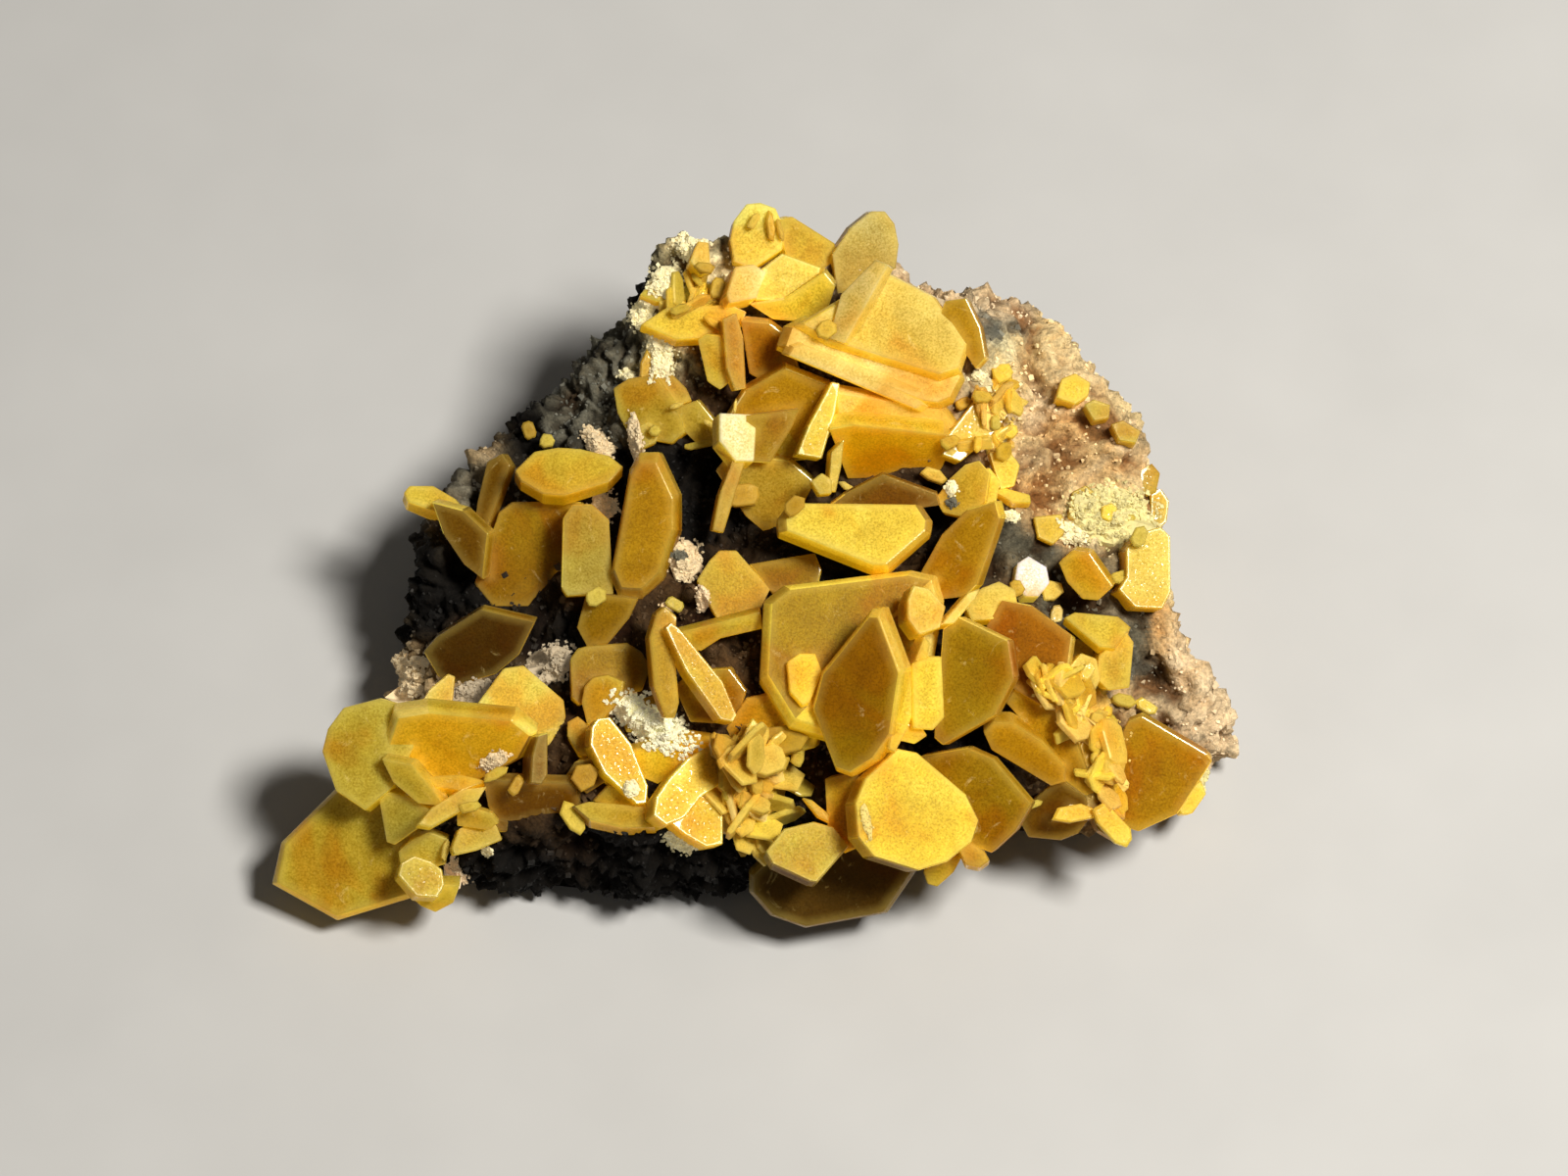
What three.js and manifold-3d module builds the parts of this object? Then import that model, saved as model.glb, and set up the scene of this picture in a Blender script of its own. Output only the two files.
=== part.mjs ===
// A wulfenite specimen: flat square-cornered crystals grown in clusters over a slab of rock.
// Units are millimetres, +Z is up, and the rock rests on z = 0 near the origin.
import * as THREE from "three";
import { mergeVertices } from "three/addons/utils/BufferGeometryUtils.js";
import Module from "manifold-3d";

const wasm = await Module();
wasm.setup();

// The crystals grow on the sloping upper side of the rock. Their places are given in the frame
// of that slope: to the right, up the slope, and out of it.
const SLOPE_TILT_DEG = 30;
const SLOPE_HEIGHT = 14;

// Rock.
const ROCK_STEPS = 9;
const ROCK_TOP_SHARE = 0.93;
const ROCK_LUMP_SIZE = 6.5;
const ROCK_LUMP_RISE = 1.6;
const ROCK_GRAIN_SIZE = 3.1;
const ROCK_GRAIN_RISE = 0.7;
const ROCK_NOISE_SEED = 7;
const LUMP_SPREAD = 1.5;
const LUMP_FALLOFF = 1.6;
const SIDEWAYS_SWELL = 0.04;
const ROCK_COLOUR = 0xb5906f;

// Crystals.
const CRYSTAL_GAP = 0.32;
const LARGE_REACH = 5.4;
const BEVEL_SHARE = 0.28;
const ROOT_DEPTH = 2.2;
const SMALLEST_PIECE = 0.8;
const CRYSTAL_COLOURS = [0xd9b070, 0xe0a82e, 0xc98a3a, 0xb98f3c];

// Reach of the rock's plan outline from the origin, at equal turns anticlockwise from +X.
const ROCK_REACH = [
  29, 29.5, 28.7, 28.4, 25, 24, 24.5, 24.6, 22.5, 21.5, 23.2, 25.5,
  25.7, 28.2, 29.5, 27.2, 23.6, 20.6, 18.9, 19.2, 19.5, 21, 29, 35,
];

// Heights of the rock's upper side, as [x, y, z] at its lumps and hollows.
const ROCK_LUMPS = [
  [6, -8, 15.6], [9, 14, 23.4], [0, 4, 16.2], [10, -17, 10.4], [-10, -14.4, 10.8], [-22, -13, 10.4],
  [-16, 2.5, 11.4], [-8, 2, 16], [-8, 11.4, 17], [-5, 16.4, 20.4], [1, 21.5, 21], [14, 13.8, 23],
  [20, 9.7, 17], [24, 0, 13.6], [28, 0, 11], [19, -7.4, 14.6], [20, -12.4, 11.2], [28, -12.6, 7.8],
  [5, -20.3, 4], [-25, -16.5, 5], [14, 2, 17.5], [-20, -6, 10], [-1, -10, 13.5], [-26, -6, 8.5],
  [-4, 23.5, 23.2], [19.5, 16.5, 19.6], [-22.5, 9.8, 15],
];

// Rings of the rock's side from its shoulder to its foot: share of the reach and of the height.
const ROCK_SIDE_RINGS = [[0.985, 0.72], [1, 0.46], [0.985, 0.24], [0.95, 0.09], [0.92, 0]];

// A crystal is a tablet: how far out of the slope its middle is, how much its flat face looks to
// the right and up, its thickness, the corners of its flat face as [right, up] on the slope, and
// how deep its root narrows into what it grows on.
function tablet(out, face, thick, outline, root = ROOT_DEPTH) {
  return { out, face, thick, outline, root };
}

const LEFT_TIP = {
  tip_plate: tablet(1.5, [-0.12, -0.12], 1.9, [
    [-30.7, -25.3], [-24.9, -23.5], [-24.5, -18.9], [-26.9, -15.8], [-30.5, -15.6], [-34.7, -19.7],
    [-35.4, -22.7],
  ], 0.4),
  round_crystal: tablet(4.6, [-0.05, 0.08], 3, [
    [-30.4, -15.8], [-28.3, -17.2], [-26.3, -15.5], [-24.9, -12.7], [-24.9, -9.9], [-27.2, -9.2],
    [-29.9, -9.9], [-31, -11.4], [-31.4, -13],
  ]),
  ridge_plate: tablet(5.6, [-0.05, -0.5], 1.6, [
    [-27.4, -13.4], [-24.5, -15.5], [-20.3, -15.4], [-17.1, -13.6], [-16.1, -11.8], [-17.6, -10.6],
    [-23.9, -10], [-26.3, -10.4],
  ]),
  white_blade: tablet(2.2, [0.3, 0.25], 0.9, [
    [-22.3, -10.1], [-22.1, -7.7], [-22.6, -7.5], [-23.8, -8.5], [-24.7, -10.1],
  ]),
  yellow_hexagon: tablet(3.2, [0.12, 0.2], 1.7, [
    [-19.5, -13.2], [-15, -13.2], [-14, -12], [-14.3, -9.4], [-17.2, -6.9], [-18.6, -7.1], [-20.5, -9.7],
    [-20.5, -11.6],
  ]),
  upright_blade: tablet(7, [0.25, 0.05], 3, [
    [-16.4, -13.3], [-16.5, -15.2], [-15.7, -15.3], [-15.3, -14.6], [-15.3, -11.6], [-16, -11.8],
  ]),
  shelf_plate: tablet(5.8, [-0.1, -0.5], 1.1, [
    [-19.6, -16.9], [-18.8, -18.8], [-12.8, -19.1], [-13.2, -15.8], [-13.8, -15.2], [-19.9, -15],
  ]),
  glint_leaf: tablet(6.9, [-0.25, -0.35], 1.2, [
    [-26.3, -15.2], [-24.5, -16.7], [-22.5, -16.9], [-24.9, -13.9], [-27.1, -13.5],
  ]),
  olive_leaf: tablet(5.2, [-0.35, -0.25], 1.3, [
    [-26.9, -19.5], [-26.3, -19.7], [-24.2, -18.2], [-23.7, -17.2], [-25.2, -16.2], [-27.5, -15.8],
  ]),
  crossing_blade: tablet(7.4, [0.25, 0.3], 0.9, [
    [-23.5, -18.3], [-20.3, -16.5], [-19.7, -15.5], [-21.6, -15.7], [-23.5, -16.9], [-24.5, -18.1],
  ]),
  pale_strip: tablet(6.6, [0.1, 0.4], 0.9, [
    [-23.2, -15.5], [-21.4, -15.7], [-19.6, -15.1], [-21.7, -14.6], [-23.9, -14.7],
  ]),
  olive_scale: tablet(5, [0.2, 0.1], 1.3, [
    [-22, -20.4], [-20.3, -20], [-18.6, -19.3], [-19, -18.3], [-20.3, -17.9], [-21.7, -18.5],
    [-22.2, -19.9],
  ]),
  olive_scale_top: tablet(5.8, [0, -0.25], 0.9, [
    [-21.8, -18.3], [-19.7, -18.6], [-18.8, -18.1], [-19.3, -17.4], [-21, -16.9], [-21.8, -17.4],
  ]),
  small_hexagon: tablet(4.6, [0.2, 0.2], 2, [
    [-24.7, -23.3], [-23.2, -23.4], [-22.7, -22.5], [-22.9, -21.4], [-23.7, -20.8], [-24.9, -20.4],
    [-25.8, -20.9], [-26, -21.8],
  ]),
  small_hexagon_back: tablet(3.4, [0, -0.2], 1.6, [
    [-25.9, -21.4], [-24.5, -21.6], [-22.7, -21.1], [-22.5, -19.3], [-23.8, -18.8], [-25.2, -19.4],
    [-26.1, -20.2],
  ]),
  brown_foot: tablet(2.6, [0, -0.4], 1.6, [
    [-24.4, -24.2], [-23.5, -24.6], [-22.2, -23.9], [-21.7, -22.6], [-24.4, -22.6], [-25.2, -23.5],
  ]),
};

const FRONT_LEFT = {
  grey_plate: tablet(3.4, [0.1, 0.1], 1.6, [
    [-13.7, -9.2], [-13.2, -9.7], [-8.7, -8.7], [-8.1, -7], [-8.8, -5.9], [-9.8, -5.3], [-12.5, -5.5],
    [-13.3, -5.7], [-13.8, -6.4],
  ]),
  oval_plate: tablet(4.7, [-0.1, 0.1], 1.4, [
    [-12.6, -11.1], [-11.8, -11.1], [-10.1, -9], [-10, -8], [-11.1, -7.5], [-12.2, -7.7], [-12.8, -8.4],
    [-13, -9.5],
  ]),
  knuckle: tablet(4.6, [0, 0.3], 1.8, [
    [-14, -11.9], [-13.2, -13.2], [-12, -13.4], [-12.3, -11.3], [-13.3, -10.5], [-14, -10.9],
  ]),
  banana_blade: tablet(7.2, [0.22, 0.15], 2.2, [
    [-11.3, -14.5], [-9, -16.7], [-8.3, -16.6], [-8.2, -15.4], [-9.4, -12.4], [-10.9, -10.5],
    [-11.8, -10.6], [-12.2, -11.2], [-12.3, -12.5],
  ]),
  ochre_plate: tablet(5.6, [-0.1, -0.4], 1.6, [
    [-8.8, -14.8], [-7.6, -15.3], [-4.8, -14.7], [-3.2, -13], [-3.9, -12.3], [-5.5, -12.1], [-8.4, -12.5],
    [-9.8, -13.2],
  ]),
  lower_wedge: tablet(7.4, [0, 0.4], 1.5, [
    [-12.4, -17.8], [-10.1, -18.3], [-7.7, -18.3], [-6.9, -17.6], [-8.1, -16.9], [-12.6, -16.5],
    [-13.6, -16.8],
  ]),
  brown_scale: tablet(6.2, [-0.3, -0.2], 1.3, [
    [-12.6, -16], [-10.6, -14.7], [-11.6, -13.4], [-13.4, -13.7], [-14.1, -14.7],
  ]),
  brown_scale_low: tablet(6.8, [-0.2, -0.3], 1.2, [
    [-10.6, -17.1], [-8.3, -16.9], [-8.7, -16.2], [-11.1, -15.4], [-12.2, -16.5],
  ]),
  bright_plate: tablet(8, [0.3, 0.2], 2.4, [
    [-6.9, -18.1], [-5.6, -17.6], [-4.5, -16.2], [-2.8, -15], [-2.4, -13.2], [-3.6, -12.4], [-5.4, -13.4],
    [-6.7, -14.8], [-7.6, -16.1], [-7.8, -17.4],
  ]),
  bright_lower: tablet(7.6, [0.28, 0.15], 2.2, [
    [-5.6, -18.8], [-4.1, -19.7], [-2.9, -19.5], [-2.9, -17.4], [-3.9, -16], [-5.6, -16.2], [-6.7, -17.9],
  ]),
  spike: tablet(9.2, [0.15, 0.2], 1.2, [
    [-1, -13.6], [-0.2, -12.9], [-0.3, -11.1], [-0.8, -10.5], [-1.6, -12], [-2, -13.3],
  ], 5),
  pale_plate: tablet(7.6, [0.12, 0.22], 1.9, [
    [0.6, -20.9], [3.2, -22.1], [3.7, -22.2], [6, -19.6], [4.9, -18.3], [3.5, -17.9], [1.4, -18.4],
    [0.1, -20],
  ]),
  sliver: tablet(7.4, [0.1, 0.1], 0.9, [
    [3.8, -17.6], [4.6, -18], [4.6, -17.4], [3.4, -16.4], [2.7, -16.2],
  ]),
  orange_column: tablet(6.4, [-0.25, -0.1], 1.8, [
    [4.5, -18.3], [5.7, -20.2], [7.3, -19.5], [6.7, -14.4], [4.3, -14.9],
  ]),
  yellow_plate: tablet(9, [0.3, 0.08], 2.4, [
    [7.7, -20.3], [10.8, -21.3], [12.9, -20.7], [14.7, -19.3], [15.2, -17.8], [14.3, -16], [10.8, -13],
    [9.4, -12.7], [7.1, -14.8], [6.4, -16.5], [6.6, -18.9],
  ], 5),
  hanging_plate: tablet(3, [0, -0.2], 1.7, [
    [-1.1, -21.8], [-1.1, -23.2], [0.4, -24.9], [2.9, -25.8], [8.8, -24.7], [10.9, -21.6], [10.5, -19.9],
    [5.6, -19.3], [0.7, -20],
  ]),
  pale_drop: tablet(6.2, [0, 0.2], 1.7, [
    [14.3, -21], [15.3, -21.2], [16, -20.7], [15.6, -20], [14.7, -19.4], [13.7, -19.7],
  ]),
  dark_drop: tablet(4.6, [0, -0.3], 1.3, [
    [11.6, -22.5], [12.3, -22.7], [13.4, -21.7], [14, -20.6], [12.3, -20.7], [11.3, -21.6],
  ], 8),
};

const CENTRE = {
  centre_plate: tablet(7, [0.04, 0.2], 2.2, [
    [1.8, -11.1], [4.9, -12], [8.8, -11.5], [11.8, -7.7], [12.8, -2.2], [12.3, -0.4], [10.5, 0],
    [1.4, -1.1], [0, -2.2], [-0.3, -7.7],
  ]),
  centre_leaf: tablet(10.4, [-0.38, -0.12], 1.8, [
    [3.9, -7.3], [3.2, -9.9], [4.9, -14.4], [6, -14.8], [7.7, -13.7], [9, -11.8], [9.7, -7.2],
    [8.1, -2.9], [7.4, -2.9],
  ]),
  pale_tab: tablet(8.6, [0.1, 0.25], 1.3, [
    [1.8, -8.7], [2.7, -9.7], [3.2, -9.5], [4.1, -7.3], [3.6, -6], [2.5, -6], [1.6, -6.6],
  ]),
  pale_stack: tablet(9.8, [0.3, 0.2], 2.2, [
    [10.1, -3.6], [10.9, -4.7], [12.4, -4.2], [12.8, -2.7], [11.6, -1.4], [10.5, -1.2], [10.1, -2.2],
  ]),
  yellow_tab: tablet(9.8, [0.3, 0], 2.2, [
    [10.5, -11.3], [11.9, -11.4], [12.7, -10.5], [12.5, -6.2], [11.6, -6.2], [10.4, -6.7],
  ]),
  yellow_tab_low: tablet(9.6, [0.2, -0.1], 1.8, [
    [9.4, -12.1], [10.6, -12.4], [11.5, -11.8], [10.9, -10.9], [9.2, -11.1],
  ]),
  bright_fringe: tablet(10.4, [0.4, 0], 1.4, [
    [9.2, -13], [10.1, -11.3], [11.1, -8.4], [11.7, -5.2], [11.3, -4.8], [10.2, -7.7], [9.2, -9.8],
    [8.7, -12.7],
  ]),
  olive_plate: tablet(8.8, [-0.28, 0], 1.6, [
    [12.6, -12.5], [16.2, -10.4], [17.6, -7.7], [17.2, -5.1], [13.7, -3.4], [12.6, -4.3], [12, -12],
  ]),
  pocket_plate: tablet(6.4, [-0.18, 0.08], 1.8, [
    [17.4, -8.4], [19.6, -9.7], [21.3, -8.4], [21.8, -4.8], [18.9, -2.6], [16.9, -2.2], [15.7, -4.2],
  ]),
  edge_blade: tablet(8.4, [0.3, 0.2], 2, [
    [13.4, -3.9], [14.9, -2.2], [15.3, -1.4], [14.4, -1.7], [12.4, -4],
  ]),
  buff_plate: tablet(5.6, [0.1, 0.3], 1.4, [
    [14.7, -3.7], [16.2, -3.6], [18, -2.6], [17.8, -1.5], [16.7, -0.9], [15.4, -1.4], [14.3, -2.8],
  ]),
  dark_plate: tablet(2.8, [0, 0.08], 1.4, [[0.6, -1.8], [3.8, -1.4], [4.1, -0.1], [3.6, 1.1], [-1.1, 0.3]]),
  slope_plate: tablet(3, [0.08, 0.15], 1.7, [
    [-3.4, -3.5], [-1.8, -3.8], [-0.3, -2.9], [0.4, -1.5], [-2, 1.3], [-3.2, 1.3], [-3.9, 0.6],
    [-4.8, -0.8],
  ]),
  long_rod: tablet(5.2, [0, -0.25], 1.6, [
    [-5.7, -5.7], [-4.5, -5.9], [-3.1, -5], [-0.1, -4.3], [-0.3, -3.1], [-6.2, -4.6],
  ]),
  twin_left: tablet(7.2, [0.2, 0], 1.8, [
    [-7.8, -8.4], [-7, -10.6], [-6.3, -10.6], [-6, -9.5], [-6.3, -6.2], [-6.2, -3.4], [-7, -2.7],
    [-7.6, -3.2], [-8.1, -4.9],
  ]),
  twin_right: tablet(8, [0.3, 0.15], 1.6, [
    [-5.5, -7.3], [-3.1, -10.7], [-2.2, -10.9], [-1.9, -10.4], [-2.9, -8], [-6, -4.2], [-6.6, -3.8],
    [-7, -4.2],
  ]),
  twin_backing: tablet(5.4, [-0.15, -0.1], 1.5, [
    [-5.3, -10.9], [-2, -11.1], [-1.3, -8.7], [-2.5, -7.1], [-5.2, -7.3], [-6.4, -8.4],
  ]),
  rosette_backing: tablet(6.2, [-0.2, -0.1], 1.6, [
    [-2, -12.9], [1.1, -13.4], [3.6, -12.7], [3.9, -10.6], [1.4, -8.7], [-1.3, -9.2], [-2.7, -11.3],
  ]),
};

const RIGHT_SIDE = {
  fan_plate: tablet(6.4, [-0.3, -0.12], 1.2, [
    [12.3, -16.5], [14.6, -19.6], [16.1, -20.2], [17.8, -18.6], [18.9, -16.7], [16.2, -13.5],
    [14.4, -12.7], [11.1, -13.3],
  ]),
  corner_plate: tablet(4.2, [-0.3, -0.3], 1.4, [
    [18.8, -19.2], [21.1, -19.4], [22.3, -18.9], [23.2, -17.6], [22.8, -16.2], [20.9, -14.9],
    [18.9, -16.7], [18.1, -17.9],
  ]),
  right_plate: tablet(6, [0.28, 0.1], 1.7, [
    [21.3, -11.1], [22.3, -11.3], [23.9, -7.8], [23.6, -6.4], [22.5, -6], [21.4, -7.3], [21, -9.2],
  ]),
  right_block: tablet(4, [0.2, 0], 2.2, [
    [23.6, -7.8], [24.5, -8.7], [26, -8.5], [26.3, -5.3], [25.8, -4.6], [23.8, -6.2],
  ]),
  flat_wedge: tablet(4.6, [0.08, 0.35], 1.3, [
    [23.8, -5.6], [24.9, -5.7], [26.1, -4.2], [25.2, -3.4], [22.1, -3.1], [21.3, -3.5],
  ]),
  white_flake: tablet(2.4, [0.25, 0.3], 1.5, [
    [18.6, -2], [19.6, -2], [20.4, -1], [20.2, 0.1], [18.9, 0.9], [18.1, 0.4], [17.9, -0.8],
  ]),
  glint_bar: tablet(2.4, [-0.15, -0.15], 2.2, [
    [21.6, -1], [22.7, -2.2], [23.8, -2.3], [24.9, -1.3], [23.2, 1.1], [22, 1.3], [21, 0.4],
  ]),
  edge_block: tablet(0.7, [0.22, 0.12], 3, [
    [26.5, -2.8], [28.5, -2.9], [29.1, -1.7], [29.1, 2.3], [28.4, 3], [26.7, 2.5], [25.9, 1.4],
    [25.9, -0.6], [25.3, -1.5],
  ]),
  slanted_bar: tablet(6.4, [0, -0.45], 1.7, [
    [16.1, -12.9], [20.4, -15.5], [21.4, -15.2], [21.4, -14.1], [19.7, -12.3], [17.5, -10.9],
    [16.2, -10.9], [15.5, -11.6],
  ]),
  amber_ridge: tablet(5.6, [-0.15, -0.25], 1.6, [
    [19.6, -12.3], [21.8, -16], [23, -16.7], [23.5, -15.8], [22, -12], [20.3, -9.9], [17.8, -8.4],
    [17.1, -9.5],
  ]),
  lower_spike: tablet(5, [0.1, 0.1], 1.6, [
    [23.7, -18.6], [25.6, -19.7], [25.8, -19], [24.4, -16.2], [23.5, -15.1], [22.4, -15.7],
  ]),
  side_spike: tablet(5, [0.1, 0.2], 1.3, [
    [21.7, -18], [23.8, -17.6], [23.9, -16.7], [21.7, -16.8], [20.4, -17.8],
  ]),
  square_plate: tablet(3.2, [-0.08, -0.15], 1.8, [
    [25.2, -18.3], [26.7, -18.8], [29.5, -17.5], [31.9, -13.7], [31.5, -13.2], [26.9, -10.5],
    [25.9, -10.9], [24.8, -13.4], [24.4, -16.5],
  ]),
  right_lump: tablet(4.6, [0.1, 0.2], 2.2, [
    [22.5, -14.5], [23.5, -15.2], [25, -14.4], [25.3, -12.3], [24.5, -11.3], [23.1, -11.6], [22.3, -12.7],
  ]),
  yellow_foot: tablet(-1.4, [0.1, 0.1], 1.7, [
    [30, -17.7], [30.8, -17.6], [31.8, -16.2], [31.4, -15.2], [30.4, -16], [29.7, -17.2],
  ], 3.4),
};

const LEFT_SLOPE = {
  eye_plate: tablet(0.6, [0.05, 0.35], 1.9, [
    [-17.5, 6.3], [-15.8, 5.3], [-14.3, 5.2], [-11.1, 6.2], [-10.1, 7.3], [-11.1, 8.1], [-13.2, 8.6],
    [-14.8, 8.7], [-16.5, 8.4], [-17.9, 7],
  ], 4.5),
  shield_plate: tablet(-1.6, [-0.08, 0], 2, [
    [-19.6, -2.7], [-16.5, -2.7], [-12.9, -0.8], [-12.3, 2.8], [-13.2, 4.8], [-18.2, 4.8], [-19.1, 4.1],
    [-20.9, -1.1],
  ]),
  rectangle: tablet(1.6, [0.05, 0.05], 2.4, [
    [-14.1, -2], [-10.8, -1.8], [-11.1, 3.5], [-12.3, 4.6], [-13.7, 4.6], [-14.4, 3.6], [-14.5, -1.4],
  ]),
  thick_plate: tablet(2.8, [-0.12, 0], 2.6, [
    [-11.1, -0.6], [-10.5, -2.1], [-8.8, -2.2], [-7.3, -0.8], [-6.2, 2.7], [-6.2, 5.3], [-7.6, 8.3],
    [-9, 8.3], [-9.7, 7.1],
  ]),
  olive_wedge: tablet(2.6, [-0.15, -0.1], 1.2, [
    [-13.4, -4.2], [-12.6, -5.7], [-11.2, -5.4], [-9.7, -3.6], [-9, -2.1], [-12.7, -1.7],
  ]),
  shaded_plate: tablet(0, [-0.1, -0.25], 1.4, [
    [-23.5, -7.7], [-22.3, -8.5], [-19.3, -7.6], [-17.6, -6.2], [-16.4, -3.8], [-20.3, -2.9],
    [-23.5, -4.9], [-24.5, -6],
  ]),
  horn: tablet(-2.4, [0.15, 0.4], 1.4, [
    [-25.7, 4.8], [-21.8, 3.4], [-21.4, 4.1], [-22.2, 5], [-23.9, 6], [-25.6, 6], [-26, 5.5],
  ]),
  horn_root: tablet(0, [-0.25, -0.15], 1.7, [
    [-23.1, 2.5], [-21.6, 0.3], [-20.2, -0.8], [-19.8, 2.5], [-21.6, 4.2], [-23.9, 4.8],
  ]),
  dark_leaf: tablet(-1.6, [-0.3, 0], 1.3, [
    [-21, 2.7], [-20.2, 2.3], [-18.3, 7.4], [-18.9, 8.3], [-20, 7.7], [-20.7, 4.8],
  ]),
};

const TOP_LEFT = {
  olive_fan: tablet(-1.2, [-0.15, 0.1], 1.4, [
    [-10.6, 11.2], [-9.7, 9.5], [-6.7, 9], [-5.7, 9.8], [-6.3, 11.9], [-7.8, 14], [-9.8, 13.7],
    [-10.9, 13],
  ]),
  fan_side: tablet(-1.2, [0.25, 0.3], 1, [
    [-6.3, 11.7], [-5.2, 12.1], [-5.6, 13], [-6.7, 14.1], [-7.8, 13.6],
  ]),
  fan_lower: tablet(-0.7, [-0.1, -0.1], 1.3, [
    [-5.7, 9.8], [-4.8, 8.9], [-3.6, 9.2], [-3.4, 10.4], [-4.8, 12.1], [-6.4, 11.5],
  ]),
  capped_crystal: tablet(-2, [0.1, 0.25], 1.8, [
    [-7.8, 19.2], [-6.4, 19.3], [-6.1, 20.2], [-6.9, 21.1], [-8.1, 20.7], [-9, 19.7],
  ]),
  sparkling_arm: tablet(-0.8, [0.1, 0.25], 1.7, [
    [-6.3, 16.4], [-4.5, 16.5], [-1.6, 17.6], [-1.3, 18.5], [-2.5, 19], [-7, 18.8], [-8.9, 17.5],
  ]),
  standing_left: tablet(0.4, [-0.1, -0.1], 1.8, [
    [-4.1, 13.4], [-3.2, 12.8], [-2.6, 13.3], [-3.1, 16.7], [-4.2, 16.8], [-4.8, 16.4],
  ]),
  standing_right: tablet(1.2, [0.15, 0], 1.9, [
    [-2.7, 14.3], [-2.1, 12.7], [-1.3, 12.9], [-1.5, 16.5], [-2, 18.3], [-3, 17.8],
  ]),
  orange_shoulder: tablet(-0.6, [0, -0.2], 2.2, [
    [-1.1, 14], [0.7, 13], [2.7, 13.6], [1.8, 16.5], [0.4, 17.6], [-1.7, 17.8],
  ]),
  crown_plate: tablet(-3.2, [0.08, 0.08], 3, [
    [-2.2, 22.1], [-0.8, 21.6], [1.3, 23], [1.4, 24.6], [0.8, 26], [-0.3, 26.4], [-1.3, 26.3],
    [-2.2, 25.1], [-2.5, 23.7],
  ]),
  crown_right: tablet(-3.4, [0.25, -0.08], 1.9, [
    [1.8, 21.8], [3.9, 21.4], [5.1, 22.3], [5.1, 23.5], [2, 25.4], [0.8, 25.1],
  ]),
  crown_face: tablet(-0.8, [0.28, 0.25], 2.2, [
    [-2.5, 19], [-0.6, 19.4], [0.1, 21.3], [-0.8, 21.9], [-2.1, 21.7], [-2.7, 19.7],
  ]),
  crown_middle: tablet(-1.8, [0.15, 0.05], 2.4, [
    [-0.6, 19.3], [1.5, 19.3], [3.8, 20.4], [4.1, 21.7], [1.3, 22.7], [-0.8, 21.1],
  ]),
  crown_sweep: tablet(-1, [-0.05, -0.2], 2, [
    [0.6, 17.9], [3.1, 17.7], [4.6, 18.8], [5.1, 20.3], [4.3, 21.3], [1.4, 19.4], [-1.1, 19],
  ]),
  pale_tooth: tablet(-1.6, [0.2, 0.25], 1.6, [
    [-4.6, 21.1], [-3.6, 21.6], [-3.9, 22.1], [-4, 23.5], [-4.8, 23.6], [-5.4, 22.1],
  ]),
  fan_tab: tablet(-0.6, [0.1, 0.1], 1.1, [[-9, 8.5], [-7.8, 9], [-7.6, 10.1], [-8.4, 10.6], [-9.2, 10.2]]),
};

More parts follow.
